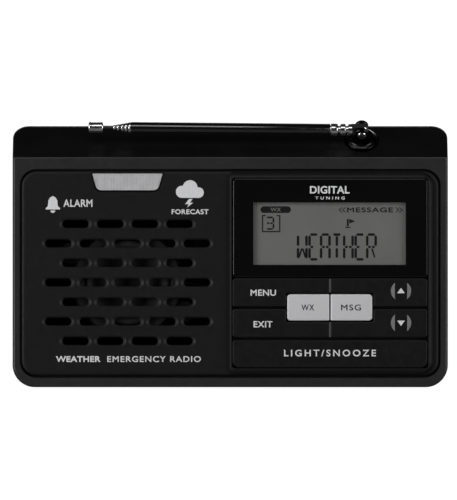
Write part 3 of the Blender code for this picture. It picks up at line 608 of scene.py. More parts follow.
def make_front_housing():
    shell = outer_form("front_shell")
    hollow = cut(casing("hollow", WALL), face_block(-WALL - 2.9, FAR))
    cut(shell, hollow)
    join(shell, block("controls_pad", (HALF - 4.3, *CONTROLS_PAD[0]), (HALF - 1.0, *CONTROLS_PAD[1]), FACE))
    side_recess = [
        (rounded(rectangle(SIDE_RECESS, grow), 3.0 + grow), HALF + height)
        for grow, height in ((0, -SIDE_RECESS_DEPTH), (0, -0.4), (0.4, 0), (0.9, 0.5))
    ]
    seat = [(circle(radius, 64), top) for radius, top in ((6.4, -0.8), (6.4, -0.25), (6.7, 0.05), (7, 0.4))]
    pocket = (PANEL[0] - 0.5, PANEL[1] - 0.5, PANEL[2] + 0.5, PANEL[3] + 0.5)
    cut(
        shell,
        face_block(-FAR, -SEAM_DEPTH),
        flared("pocket", pocket, PANEL_CORNER + 0.5, PANEL_BACK - GAP, 0.0, 0.30),
        slab("opening", rounded(rectangle(PANEL, -1.6), PANEL_CORNER - 2), -10, 0),
        stack("recess", side_recess, FACE @ SIDE_VIEW),
        block("wheel_slot", (60, *WHEEL_SLOT[0]), (90, *WHEEL_SLOT[1]), FACE),
        block("switch_slot", (70, *SWITCH_SLOT[0]), (90, *SWITCH_SLOT[1]), FACE),
        stack("antenna_recess", seat, DECK),
        slab("antenna_hole", circle(2.6, 32), -12, 0, DECK),
    )
    dress(shell, GLOSS, "gloss_case", replaces="front_housing")
    # Forward faces take the lighter satin: a rougher finish, and a lighter colour that is painted highlight.
    shell.data.materials.append(HIGHLIGHT_SATIN)
    facing = FACE.to_3x3() @ Vector((0, 0, 1))
    for face in shell.data.polygons:
        face.material_index = int(face.normal.dot(facing) > FACING)


# ---------------------------------------------------------------- front panel
def slot_centres():
    pitch_u, pitch_v = SLOT_PITCH
    for row in range(7):
        count = 4 if row % 2 == 0 else 5
        for column in range(count):
            yield SPEAKER[0] + (column - (count - 1) / 2) * pitch_u, SPEAKER[1] + (3 - row) * pitch_v


def slot_cutter(centre):
    stages = (
        (10.0, 2.9, PANEL_BACK - 1), (10.0, 2.9, PANEL_TOP - 0.95), (11.4, 3.7, PANEL_TOP - 0.30),
        (12.2, 4.15, PANEL_TOP), (12.6, 4.5, PANEL_TOP + 0.3),
    )
    return stack("slot", [(capsule(centre, length, height), rise) for length, height, rise in stages])


def lens_outline(grow=0.0):
    corners = [
        (-50.5 - grow, LENS_LOW - grow),
        (-27.5 + grow, LENS_LOW - grow),
        (-25.6 + grow, LENS_TOP + grow / 2),
        (-52.3 - grow, LENS_TOP + grow / 2),
    ]
    return rounded(corners, (2.1 + grow, 2.1 + grow, 0.3, 0.3), 8)


def quarter_round(top, width, height, steps=5):
    """How far a rounded edge has moved in, and how high it is, at each stop up to the flat top."""
    for step in range(steps + 1):
        angle = math.radians(90 * step / steps)
        yield width * (1 - math.cos(angle)), top - height + height * math.sin(angle)


def rim_layers(box, corner, low, high, width, height, steps=10):
    """Layers of a plate with a softly rounded rim of this width and height."""
    layers = [(rounded(rectangle(box), corner, steps), low)]
    for shrink, rise in quarter_round(high, width, height):
        layers.append((rounded(rectangle(box, -shrink), max(corner - shrink, 0.3), steps), rise))
    return layers


def pod_layer(part, rise):
    """The raised frame's outline at a height, from its foot (part 0) to its narrower top (part 1)."""
    left, low, right, high = POD
    box = (left + 1.05 * part, low + 2.0 * part, right - 2.0 * part, high - 2.0 * part)
    corners = [foot + (top - foot) * part for foot, top in zip((2.0, 5.3, 5.3, 2.0), (1.6, 3.0, 3.0, 1.6))]
    return rounded(rectangle(box), corners, 10), rise


def make_front_panel():
    panel = stack("panel_face", rim_layers(PANEL, PANEL_CORNER, PANEL_BACK, PANEL_TOP, 1.2, 0.8))
    slopes = (
        (0, PANEL_BACK + 1), (0, PANEL_TOP + 0.05), (0.30, 0.75), (0.68, 1.33), (0.92, POD_TOP - 0.03),
        (1.0, POD_TOP),
    )
    join(panel, stack("pod", [pod_layer(part, rise) for part, rise in slopes]))
    lens_hole = ((0.5, -10), (0.5, PANEL_TOP - 0.3), (0.85, PANEL_TOP + 0.05), (1.2, 0.5))
    centres = list(slot_centres())
    cut(
        panel,
        slab("pocket", rounded(rectangle(POCKET), 1.4), POCKET_FLOOR, 20),
        slab("view", rectangle(LCD_FACE, GAP), -10, 10),
        stack("lens_hole", [(lens_outline(grow), height) for grow, height in lens_hole]),
        merge("slots", [slot_cutter(centre) for centre in centres]),
    )
    dress(panel, PANEL_BLACK, "matte_panel", replaces="front_panel")
    # Faces inside the speaker slots, chamfers and walls, take the lighter satin: painted glints at the slot
    # ends and painted light on the walls.
    panel.data.materials.append(HIGHLIGHT_SATIN)
    on_face = FACE.inverted()
    for face in panel.data.polygons:
        spot = on_face @ (face.center / MM)
        in_slot = any(abs(spot.x - across) < 6.6 and abs(spot.y - up) < 2.4 for across, up in centres)
        face.material_index = int(in_slot and spot.z < PANEL_TOP - 0.02)


def make_key_divider():
    """Two thin ribs between the left and right keys, above and below the silver pair."""
    half = DIVIDER_WIDTH / 2
    low, high = SILVER[1] - 0.6, SILVER[3] + 0.6
    for name, start, end in (("upper", high, DIVIDER_TOP), ("lower", DIVIDER_LOW, low)):
        box = (KEYS_MIDDLE - half, start, KEYS_MIDDLE + half, end)
        stages = ((0, POCKET_FLOOR + 0.05), (0, KEY_TOP - 0.12), (-0.08, KEY_TOP - 0.02))
        rib = stack(f"key_divider_{name}", [(rectangle(box, grow), height) for grow, height in stages])
        dress(rib, PRINT_GRAY, "matte_panel")


def make_alert_lens():
    pitch, ribs_high, width = 0.55, 0.16, 28
    count = int(width / pitch)
    left = -53.0
    right = left + pitch * count
    low, top = PANEL_BACK + 0.2, PANEL_TOP + 0.02
    ribs = [
        (left + pitch * (rib + step / 4), top + ribs_high * math.sin(math.pi * step / 4))
        for rib in range(count)
        for step in range(4)
    ]
    profile = [(left, low), (right, low), (right, top), *reversed(ribs)]
    upright = FACE @ Matrix.Rotation(math.radians(90), 4, "X")
    corrugated = slab("alert_lens_ribbed", profile, -90, -60, upright, 60)
    combine(corrugated, "INTERSECT", [slab("lens_outline", lens_outline(), -10, 10)], 60)
    dress(corrugated, LENS, "lens", replaces="alert_lens")


# ---------------------------------------------------------------- display
def make_window():
    window = stack("window_plate", rim_layers(WINDOW, 1.3, 0.1, POD_TOP - 0.2, 0.3, 0.3, 6))
    cut(window, slab("aperture", rounded(rectangle(LCD_VIEW), 0.3, 3), -5, 5))
    dress(window, SMOKE, "window", replaces="lcd_window")
    film = stack("lcd_face", rim_layers(LCD_FACE, 0.3, -1.35, 0.0, 0.1, 0.1, 3))
    dress(film, FILM, "lcd", replaces="lcd_glass")


# ---------------------------------------------------------------- keys
def stepped_key(side, row, far_edge):
    """An L-shaped key on one side (-1 or 1): its outer and inner edge, and its shallow part's far edge."""
    edge, step = (KEYS_LEFT, SILVER[0] - KEY_CLEAR) if side < 0 else (KEYS_RIGHT, SILVER[2] + KEY_CLEAR)
    centre = KEYS_MIDDLE + side * KEY_SPLIT
    outer, inner = row
    corners = [(edge, outer), (edge, inner), (step, inner)]
    corners += [(step, far_edge), (centre, far_edge), (centre, outer)]
    if (centre - edge) * (inner - outer) > 0:
        corners.reverse()
    return corners, [1.2 if corner == (edge, outer) else 0.6 for corner in corners]


def key_corners():
    """Corners and radii of each key: four dark keys step round two silver ones, above the wide bar."""
    silver_left, low, silver_right, high = SILVER
    top_row, low_row = (41.55, 30.8), (19.1, 29.9)
    return {
        "key_menu": stepped_key(-1, top_row, high + KEY_CLEAR),
        "key_exit": stepped_key(-1, low_row, low - KEY_CLEAR),
        "key_up": stepped_key(1, top_row, high + KEY_CLEAR),
        "key_down": stepped_key(1, low_row, low - KEY_CLEAR),
        "key_weather": (rectangle((silver_left, low, KEYS_MIDDLE - KEY_SPLIT, high)), (1.3, 0.4, 0.4, 1.3)),
        "key_message": (rectangle((KEYS_MIDDLE + KEY_SPLIT, low, silver_right, high)), (0.4, 1.3, 1.3, 0.4)),
        "light_snooze_bar": (rectangle((KEYS_LEFT, 7.7, KEYS_RIGHT, 18.1)), (2.5, 2.5, 0.8, 0.8)),
    }


def turn_of(corners, index):
    """Above 0 where an anticlockwise outline turns outwards."""
    here = Vector(corners[index])
    before = here - Vector(corners[index - 1])
    after = Vector(corners[(index + 1) % len(corners)]) - here
    return before.x * after.y - before.y * after.x


def key_layers(corners, radii, low, high, edge):
    layers = []
    for shrink, rise in ((0, low), *quarter_round(high, edge, edge)):
        sized = [
            max(radius - shrink, 0.1) if turn_of(corners, index) > 0 else radius + shrink
            for index, radius in enumerate(radii)
        ]
        layers.append((rounded(inset(corners, shrink), sized, 6), rise))
    return layers


def make_keys():
    for name, (corners, radii) in key_corners().items():
        silver = name in ("key_weather", "key_message")
        top, edge = KEY_TOP + SILVER_RISE * silver, 0.45 if silver else 0.38
        cap = stack(name + "_cap", key_layers(corners, radii, KEY_BOTTOM, top, edge))
        material, slot = (SILVER_PAINT, "silver_key") if silver else (KEY_BLACK, "key")
        dress(cap, material, slot, name + "_body", name)


# ---------------------------------------------------------------- lettering and display marks
LETTER_DEPTH = 0.05


def thicken(form, distance):
    """Moves the outline of flat, filled letters outward, with no spikes at sharp corners."""
    pushes = {}
    for vertex in form.verts:
        normals = []
        for edge in vertex.link_edges:
            if len(edge.link_faces) != 1:
                continue
            along = (edge.other_vert(vertex).co - vertex.co).normalized()
            normal = Vector((along.y, -along.x, 0))
            inward = edge.link_faces[0].calc_center_median() - vertex.co
            normals.append(normal if normal.dot(inward) < 0 else -normal)
        if len(normals) == 2:
            pushes[vertex] = (normals[0] + normals[1]) / max(1 + normals[0].dot(normals[1]), 0.6)
    for vertex, push in pushes.items():
        vertex.co += push * distance


def lettering(name, text, box, surface, bold, spacing):
    """Raised print of some text, stretched to fill a box on the face, its strokes widened by `bold` mm."""
    curve = bpy.data.curves.new(name, "FONT")
    curve.body = text
    curve.size = 1
    curve.space_character = spacing
    curve.resolution_u = 5
    guide = place_object(name, curve)
    graph = bpy.context.evaluated_depsgraph_get()
    flat = bpy.data.meshes.new_from_object(guide.evaluated_get(graph))
    drop(guide)
    left, low, right, high = (edge + sign * bold / 2 for edge, sign in zip(box, (1, 1, -1, -1)))
    across = [vertex.co.x for vertex in flat.vertices]
    up = [vertex.co.y for vertex in flat.vertices]
    form = bmesh.new()
    form.from_mesh(flat)
    bmesh.ops.remove_doubles(form, verts=form.verts, dist=0.0001)
    for vertex in form.verts:
        vertex.co.x = left + (vertex.co.x - min(across)) * (right - left) / (max(across) - min(across))
        vertex.co.y = low + (vertex.co.y - min(up)) * (high - low) / (max(up) - min(up))
        vertex.co.z = surface - LETTER_DEPTH
    thicken(form, bold / 2)
    made = bmesh.ops.extrude_face_region(form, geom=list(form.faces))
    for item in made["geom"]:
        if isinstance(item, bmesh.types.BMVert):
            item.co.z = surface + LETTER_DEPTH
    return from_bmesh(name, form, FACE, 0)


def marks(name, outlines, surface):
    """Several flat outlines raised on a surface as one piece."""
    low, high = surface - LETTER_DEPTH, surface + LETTER_DEPTH
    return merge(name, [slab(name, outline, low, high, FACE, 0) for outline in outlines])


def crescent(centre, radius, reach, side, steps=12):
    """A slice of a disc bounded by its rim and by a flatter arc that starts `reach` from the centre."""
    u, v = centre
    half = math.radians(54)
    turns = [half * (2 * step / steps - 1) for step in range(steps + 1)]
    rim = [(u + side * radius * math.cos(turn), v + radius * math.sin(turn)) for turn in turns]
    chord = radius * math.cos(half)
    depths = [chord + (reach - chord) * (1 - (turn / half) ** 2) for turn in turns]
    inner = [(u + side * depth, v + radius * math.sin(turn)) for depth, turn in zip(depths, turns)]
    outline = rim + inner[-2:0:-1]
    return outline if side > 0 else outline[::-1]


def stroke(start, end, width):
    """A straight bar with pointed ends, as a display segment has."""
    start, end = Vector(start), Vector(end)
    along = (end - start).normalized() * width / 2
    side = Vector((-along.y, along.x))
    return [start, start + along - side, end - along - side, end, end - along + side, start + along + side]


SEGMENTS = {
    "a": ((0.04, 1), (0.96, 1)),
    "b": ((1, 0.97), (1, 0.53)),
    "c": ((1, 0.47), (1, 0.03)),
    "d": ((0.04, 0), (0.96, 0)),
    "e": ((0, 0.03), (0, 0.47)),
    "f": ((0, 0.53), (0, 0.97)),
    "g": ((0.06, 0.5), (0.48, 0.5)),
    "h": ((0.52, 0.5), (0.94, 0.5)),
    "i": ((0.5, 0.95), (0.5, 0.53)),
    "l": ((0.5, 0.47), (0.5, 0.05)),
    "k": ((0.1, 0.06), (0.46, 0.45)),
    "m": ((0.9, 0.06), (0.54, 0.45)),
}
CHARACTERS = {
    "W": "fekmcb",
    "E": "afedg",
    "A": "abcefgh",
    "T": "ail",
    "H": "bcefgh",
    "R": "abefghm",
    "3": "abcdgh",
}


def segment_text(text, left, low, width, height, pitch, thickness):
    outlines = []
    for position, letter in enumerate(text):
        for key in CHARACTERS[letter]:
            start = left + position * pitch
            ends = [(start + across * width, low + up * height) for across, up in SEGMENTS[key]]
            outlines.append(stroke(*ends, thickness * (0.65 if key in "km" else 1)))
    return outlines


def make_display_marks():
    outlines = segment_text("WEATHER", 25.7, 48.7, 3.2, 9.4, 4.37, 0.95)
    outlines += segment_text("3", 13.7, 60.2, 2.7, 4.4, 4, 0.62)
    left, low, right, high = 12.05, 59.0, 19.0, 65.5
    bar, gap, tick = 0.45, 0.5, 1.4
    channel_frame = (
        (left, low, left + bar, high),
        (right - bar, low, right, high),
        (left + gap, low, right - gap, low + bar),
        (left + gap, high - bar, left + tick, high),
        (right - tick, high - bar, right - gap, high),
    )
    outlines += [rectangle(side) for side in channel_frame]
    outlines.append(rounded(rectangle((11.5, 66.3, 23.0, 68.8)), 1.24, 8))
    outlines += [
        rectangle((44.2, 61.2, 44.9, 64.0)),
        [(45.1, 64.0), (45.1, 62.3), (47.4, 63.15)],
        rectangle((43.6, 60.6, 45.5, 61.0)),
    ]
    for middle, way in ((41.6, -1), (42.9, -1), (63.1, 1), (64.4, 1)):
        tip, heel = middle + 0.55 * way, middle - 0.55 * way
        lower = [(heel, 66.5), (heel + 0.45, 66.5), (tip + 0.45, 67.45)]
        outlines.append([*lower, (heel + 0.45, 68.4), (heel, 68.4), (tip, 67.45)])
    dress(marks("display_segments", outlines, 0), INK, "lcd")
    dress(lettering("display_message", "MESSAGE", (44.3, 66.5, 61.7, 68.4), 0, 0.14, 1.12), INK, "lcd")
    dress(lettering("display_band", "WX", (15.3, 66.8, 19.2, 68.3), 0.06, 0.1, 1.1), FILM, "lcd")


def make_key_labels():
    top, silver_top = KEY_TOP, KEY_TOP + SILVER_RISE
    for name, text, box, height, bold, spacing, key in (
        ("label_menu", "MENU", (7.7, 34.9, 17.35, 37.25), top, 0.14, 1.05, "key_menu"),
        ("label_exit", "EXIT", (8.85, 22.95, 16.0, 25.3), top, 0.14, 1.05, "key_exit"),
        ("label_light", "LIGHT/SNOOZE", (20.4, 11.95, 55.2, 14.5), top, 0.14, 1.4, "light_snooze_bar"),
        ("label_weather", "WX", (27.0, 29.35, 31.8, 31.6), silver_top, 0.06, 1.15, "key_weather"),
        ("label_message", "MSG", (42.0, 29.35, 49.5, 31.6), silver_top, 0.06, 1.15, "key_message"),
    ):
        material, slot = (PRINT, "key") if height == top else (INK, "silver_key")
        dress(lettering(name, text, box, height, bold, spacing), material, slot, key + "_body")
    for key, centre, way in (("key_up", (64.7, 36.75), 1), ("key_down", (64.7, 24.65), -1)):
        u, v = centre
        arrow = [(u - 1.45, v - 0.85 * way), (u + 1.45, v - 0.85 * way), (u, v + 1.15 * way)]
        if way < 0:
            arrow.reverse()
        dress(marks(key + "_arrow", [arrow], top), PRINT, "key", key + "_body")
        bands = [crescent(centre, 3.85, 2.35, side) for side in (-1, 1)]
        dress(marks(key + "_brackets", bands, top), PRINT_GRAY, "key", key + "_body")


def make_panel_prints():
    top = PANEL_TOP
    for name, text, box, bold, spacing in (
        ("print_type", "WEATHER", (-66.0, 9.8, -49.2, 12.05), 0.2, 1.05),
        ("print_use", "EMERGENCY RADIO", (-46.6, 9.8, -11.1, 12.05), 0.1, 1.15),
        ("print_alarm", "ALARM", (-63.2, 68.6, -52.2, 71.4), 0.14, 1.05),
        ("print_forecast", "FORECAST", (-22.2, 65.8, -8.2, 67.7), 0.14, 1.1),
    ):
        dress(lettering(name, text, box, top, bold, spacing), PRINT, "matte_panel")
    bell = [
        (-69.9, 67.6), (-64.5, 67.6), (-64.5, 68.1), (-65.3, 68.9), (-65.5, 71.0), (-66.2, 72.2),
        (-67.2, 72.7), (-68.2, 72.2), (-68.9, 71.0), (-69.1, 68.9), (-69.9, 68.1),
    ]
    clapper = arc((-67.2, 67.2), 0.9, 180, 360, 10)
    dress(marks("print_bell", [bell, clapper], top), PRINT, "matte_panel")
    cloud = (
        [(-18.3, 72.0), (-12.0, 72.0)]
        + arc((-12.0, 74.0), 2.0, -80, 100, 10)
        + arc((-15.2, 75.9), 2.8, 20, 165, 12)
        + arc((-18.3, 74.3), 2.3, 110, 262, 10)
    )
    bolt = [
        (-15.6, 71.6), (-17.1, 69.6), (-15.7, 69.6), (-16.4, 68.3), (-14.0, 70.2), (-15.3, 70.2),
        (-14.2, 71.6),
    ]
    dress(marks("print_cloud", [cloud, bolt], top), PRINT, "matte_panel")
    for name, text, box, bold, spacing in (
        ("print_digital", "DIGITAL", (30.2, 73.6, 45.2, 76.5), 0.2, 1.05),
        ("print_tuning", "TUNING", (32.2, 71.4, 43.4, 72.5), 0.08, 1.7),
    ):
        dress(lettering(name, text, box, POD_TOP - 0.2, bold, spacing), PRINT, "window")


make_front_housing()
make_front_panel()
make_key_divider()
make_alert_lens()
make_window()
make_keys()
make_display_marks()
make_key_labels()
make_panel_prints()

# ---------------------------------------------------------------- antenna
FERRULE_END = 11.7
TUBE_RADII = (2.175, 1.875, 1.575, 1.275, 0.975)
TUBE_ENDS = (88.4, 89.8, 91.2, 92.8, 94.2)
TUBE_WALL = 0.2
ROD_RADIUS = 0.7
ROD_END = 98.1
TIP_END = 103.6
MAST_SIDES = 72


def chrome_lip_over_painted_shade(item, start):
    """Plain chrome on the end of a mast section, past `start` mm along the mast; the rest keeps the darkened
    chrome, painted shade.
    """
    item.data.materials.append(CHROME)
    along = MAST.inverted()
    for face in item.data.polygons:
        face.material_index = int((along @ (face.center / MM)).z > start)


def make_mast():
    elbow = lathe(
        "antenna_ferrule",
        [
            (0, FERRULE_END + 4.0), (1.6, FERRULE_END + 4.0), (1.6, FERRULE_END), (2.15, FERRULE_END),
            (2.35, FERRULE_END - 0.2), (2.35, 9.5), (2.2, 9.2), (1.45, 9.0), (1.45, 8.2), (2.15, 8.05),
            (2.28, 7.9), (2.28, 6.4), (2.15, 6.2), (1.45, 6.1), (1.45, 5.2), (2.1, 5.1), (2.2, 5.0),
            (2.2, 3.6), (2.0, 3.4), (0, 3.4),
        ],
        MAST,
        MAST_SIDES,
    )
    tongue = rounded([(-2.3, -2.3), (2.3, -2.3), (2.1, 4.0), (-2.1, 4.0)], (2.2, 2.2, 0, 0), 12)
    flat = stack(
        "tongue",
        [(inset(tongue, 0.15), -1.1), (tongue, -0.95), (tongue, 0.95), (inset(tongue, 0.15), 1.1)],
        MAST @ FRONT_VIEW,
    )
    join(elbow, flat)
    cut(elbow, slab("tongue_hole", circle(1.1, 32), -5, 5, MAST @ ALONG_Y))
    dress(elbow, CHROME, "chrome", "antenna_mast", "antenna_elbow")
    start = FERRULE_END + GAP
    bodies = ["antenna_mast"] + [f"antenna_section_{number}" for number in range(2, 6)]
    for number, (radius, end) in enumerate(zip(TUBE_RADII, TUBE_ENDS), 1):
        inner = radius - TUBE_WALL
        profile = [
            (inner + 0.02, end), (inner + 0.10, end), (radius - 0.03, end - 0.10), (radius, end - 0.24),
            (radius, end - 0.62), (radius - 0.09, end - 0.74), (radius - 0.09, end - 1.0),
            (radius, end - 1.1), (radius, start + 0.1), (radius - 0.06, start), (inner, start),
            (inner, end - 0.05),
        ]
        tube = lathe(f"antenna_section_{number}_tube", profile, MAST, MAST_SIDES, True)
        # Each section's body takes the darkened chrome, painted shade; only its lip at the end is plain
        # chrome.
        slot = "dark_chrome" if number == 1 else "chrome"
        dress(tube, SHADED_CHROME, slot, bodies[number - 1], f"antenna_tube_{number}")
        chrome_lip_over_painted_shade(tube, end - 0.7)
        start = FERRULE_END + 4.4 + 0.6 * number
    rod = lathe(
        "antenna_tip_rod",
        [
            (0, TIP_END), (1.5, TIP_END - 0.02), (1.95, TIP_END - 0.15), (2.1, TIP_END - 0.45),
            (2.1, TIP_END - 0.75), (2.0, TIP_END - 0.95), (2.0, ROD_END + 0.95), (2.1, ROD_END + 0.75),
            (2.1, ROD_END + 0.45), (1.9, ROD_END + 0.12), (1.5, ROD_END), (ROD_RADIUS, ROD_END),
            (ROD_RADIUS, start), (0, start),
        ],
        MAST,
        MAST_SIDES,
    )
    # The rod takes the darkened chrome, painted shade; its tip cap is plain chrome.
    dress(rod, SHADED_CHROME, "chrome", "antenna_rod_body", "antenna_rod")
    chrome_lip_over_painted_shade(rod, ROD_END - 0.01)


def make_swivel():
    base = lathe(
        "antenna_swivel_base",
        [
            (0, 1.75), (4.3, 1.75), (4.75, 1.65), (5.0, 1.35), (5.3, 1.15), (5.7, 1.0), (6.0, 0.7),
            (6.0, -0.5), (2.3, -0.5), (2.3, -7.0), (0, -7.0),
        ],
        DECK,
        96,
    )
    ear = rounded(rectangle((-2.5, 1.2, 2.5, PIVOT_HEIGHT + 2.5)), (0, 0, 2.49, 2.49), 14)
    edge = inset(ear, 0.18)
    join(base, *(
        stack(
            "ear",
            [(edge, middle - 0.7), (ear, middle - 0.5), (ear, middle + 0.5), (edge, middle + 0.7)],
            DECK @ FRONT_VIEW,
        )
        for middle in (2.1, -2.1)
    ))
    pivot = DECK @ moved(0, 0, PIVOT_HEIGHT) @ ALONG_Y
    cut(base, slab("pivot_hole", circle(1.1, 32), -5, 5, pivot))
    dress(base, BLACK_CHROME, "dark_chrome", "antenna_swivel", "antenna_base")
    pin = lathe(
        "antenna_pivot_pin",
        [
            (0, 3.8), (0.9, 3.8), (1.35, 3.65), (1.6, 3.4), (1.6, 3.1), (0.8, 3.1), (0.8, -3.1),
            (1.6, -3.1), (1.6, -3.5), (1.4, -3.7), (0, -3.7),
        ],
        pivot,
        48,
    )
    cut(pin, block("driver_slot", (-2, -0.2, -5), (2, 0.2, -3.4), pivot))
    dress(pin, CHROME, "chrome", "antenna_swivel", "antenna_pivot")


# ---------------------------------------------------------------- rear and sides
BACK_VIEW = Matrix(((-1, 0, 0), (0, 0, 1), (0, 1, 0))).to_4x4()
SCREW_X = 68.0
SCREW_ROWS = (14.0, 70.0)
FOOT_X, FOOT_Y = 62.0, 15.0
FOOT_RADIUS, FOOT_TOP = 4.0, 1.7
BAY = (-12.2, 5.2, 41.2, 52.0)
BAY_FRONT = 6.7
DOOR = (-14.2, 4.3, 43.2, 54.0)
MIRRORED_DOOR = (-DOOR[2], DOOR[1], -DOOR[0], DOOR[3])
DOOR_CORNER = 1.5
NOTCH_LEFT, NOTCH_RIGHT, NOTCH_LOW, NOTCH_TOP = -21.0, -8.0, 53.0, 58.6
DOOR_THICKNESS = 1.55
HINGE = (0.75, 5.1)
JACK_X = 58.0
JACKS = {"dc": 17.0, "aerial": 32.0}
WHEEL = (73.2, 34.0)
SWITCH = (79.9, 56.5, -12.5)


def rounded_above(box, radius, steps=8):
    """An outline seen from behind, rounded at its two upper corners and all but sharp at the lower ones."""
    return rounded(rectangle(box), (0.02, 0.02, radius, radius), steps)


def door_outline(grow, radius):
    left, low, right, high = MIRRORED_DOOR
    return rounded_above((left - grow, low - grow, right + grow, high + grow), radius)


def stepped_hole(x, z, bore, start, radius, floor):
    """A bore through the back wall with a wider pocket and a small chamfer at its mouth."""
    return lathe(
        "stepped_hole",
        [
            (0, start), (bore, start), (bore, floor), (radius, floor), (radius, BACK - 0.25),
            (radius + 0.85, BACK + 0.6), (0, BACK + 0.6),
        ],
        moved(x, 0, z) @ ALONG_Y,
        48,
    )


def make_rear_housing():
    shell = outer_form("rear_shell")
    cut(shell, casing("rear_hollow", WALL))
    posts = [(x, z) for x in (-SCREW_X, SCREW_X) for z in SCREW_ROWS]
    columns = [slab("column", circle(4.0, 32), -10, BACK - 1, moved(x, 0, z) @ ALONG_Y) for x, z in posts]
    join(shell, *columns)
    cut(shell, face_block(-SEAM_DEPTH - GAP, FAR))
    left, low, right, high = BAY
    join(
        shell,
        block("bay_box", (left - 1.7, BAY_FRONT - 1.7, 2.4), (right + 1.7, BACK - 1, high + 1.7)),
        block("door_frame", (left - 4.3, 20.5, 2.4), (right + 4.3, BACK - 0.5, high + 4.0)),
    )
    rebate = [
        (door_outline(GAP + grow, 1.8 + grow), BACK + height)
        for grow, height in ((0, -2.1), (0, -0.25), (0.2, 0), (0.7, 0.5))
    ]
    notch = []
    for grow, height in ((0, -1.2), (0, -0.4), (0.8, 0.4)):
        box = (NOTCH_LEFT - grow, NOTCH_LOW, NOTCH_RIGHT + grow, NOTCH_TOP + grow)
        notch.append((rounded_above(box, 2.5 + grow, 10), BACK + height))
    pin_low, pin_high = HINGE[1] - 0.8, HINGE[1] + 0.8
    cut(
        shell,
        block("bay_space", (left, BAY_FRONT, low), (right, 40, high)),
        stack("door_rebate", rebate, BACK_VIEW),
        block("pin_sockets", (DOOR[0] - 1.8, BACK - 1.6, pin_low), (DOOR[2] + 1.8, 40, pin_high)),
        stack("thumb_notch", notch, BACK_VIEW),
        *(stepped_hole(x, z, 1.6, -10.3, 3.2, BACK - 2.53) for x, z in posts),
        *(stepped_hole(JACK_X, z, 4.5, 0.3, 5.4, BACK - 0.5) for z in JACKS.values()),
        *(
            slab("foot_recess", circle(FOOT_RADIUS + GAP, 48, (x, FOOT_Y)), -1, FOOT_TOP + GAP, PLAN_VIEW)
            for x in (-FOOT_X, FOOT_X)
        ),
    )
    dress(shell, CASE_BLACK, "matte_case", replaces="rear_housing")


def make_case_screws():
    posts = [(x, z) for z in SCREW_ROWS for x in (-SCREW_X, SCREW_X)]
    for number, (x, z) in enumerate(posts, 1):
        tip = max((z - FOOT) * SIN_LEAN / COS_LEAN - BACK + 11.5 / COS_LEAN, BACK - 26)
        place = moved(x, 0, z) @ ALONG_Y
        screw = lathe(
            f"case_screw_{number}_head",
            [
                (0, BACK - 0.75), (1.3, BACK - 0.8), (2.2, BACK - 1.0), (2.65, BACK - 1.35),
                (2.8, BACK - 1.8), (2.8, BACK - 2.2), (1.3, BACK - 2.2), (1.3, tip + 1), (0.3, tip), (0, tip),
            ],
            place,
            48,
        )
        low, high = (-1.55, -0.28, BACK - 1.75), (1.55, 0.28, BACK)
        cross = [
            block("cross", low, high, place @ Matrix.Rotation(turn, 4, "Z"))
            for turn in (0.35, 0.35 + math.pi / 2)
        ]
        cut(screw, *cross)
        dress(screw, STEEL, "steel", replaces=f"case_screw_{number}")


def make_battery_door():
    layers = [(door_outline(0, DOOR_CORNER), BACK - DOOR_THICKNESS)]
    for shrink, rise in quarter_round(BACK, 0.25, 0.25, 3):
        layers.append((door_outline(-shrink, DOOR_CORNER - shrink), rise))
    door = stack("battery_door_panel", layers, BACK_VIEW)
    rows = [capsule((-14.5, 45.6 - 1.9 * row), 16 - 1.6 * row, 0.9) for row in range(4)]
    grooves = [slab("groove", row, BACK - 0.45, BACK + 1, BACK_VIEW) for row in rows]
    arrow = [(-15.9, 36.4), (-13.1, 36.4), (-14.5, 34.2)]
    cut(door, *grooves, slab("arrow", arrow[::-1], BACK - 0.35, BACK + 1, BACK_VIEW))
    hinge = moved(0, BACK - HINGE[0], HINGE[1]) @ ALONG_X
    starts = (DOOR[0] - 1.5, DOOR[2] - 1.0)
    join(door, *(slab("hinge_pin", circle(0.5, 24), start, start + 2.5, hinge) for start in starts))
    dress(door, CASE_BLACK, "matte_case", "door", "battery_door")


def make_feet():
    spots = [(x, y) for y in (-FOOT_Y, FOOT_Y) for x in (-FOOT_X, FOOT_X)]
    for number, (x, y) in enumerate(spots, 1):
        foot = lathe(
            f"foot_{number}_pad",
            [(0, FOOT_TOP), (FOOT_RADIUS, FOOT_TOP), (FOOT_RADIUS, 0.6), (3.85, 0.25), (3.4, 0), (0, 0)],
            moved(x, y, 0),
            48,
        )
        dress(foot, RUBBER, "rubber", replaces=f"foot_{number}")


def make_sockets():
    board, mouth = 10.5, BACK - 0.3
    place = moved(JACK_X, 0, JACKS["dc"]) @ ALONG_Y
    inlet = lathe(
        "dc_inlet_barrel",
        [
            (0, mouth - 1.0), (0.7, mouth - 1.0), (1.0, mouth - 1.3), (1.0, mouth - 9.0), (2.8, mouth - 9.0),
            (2.8, mouth - 0.4), (3.2, mouth), (4.0, mouth), (4.2, mouth - 0.2), (4.2, board), (0, board),
        ],
        place,
        64,
    )
    dress(inlet, CASE_BLACK, "gloss_case", replaces="dc_inlet")
    place = moved(JACK_X, 0, JACKS["aerial"]) @ ALONG_Y
    socket = lathe(
        "aerial_socket_barrel",
        [
            (0, mouth - 10.0), (1.8, mouth - 10.0), (1.8, mouth - 0.3), (2.1, mouth), (2.9, mouth),
            (3.2, mouth - 0.3), (3.2, mouth - 0.8), (4.0, mouth - 0.8), (4.2, mouth - 1.0), (4.2, board),
            (0, board),
        ],
        place,
        64,
    )
    dress(socket, CHROME, "chrome", replaces="aerial_socket")


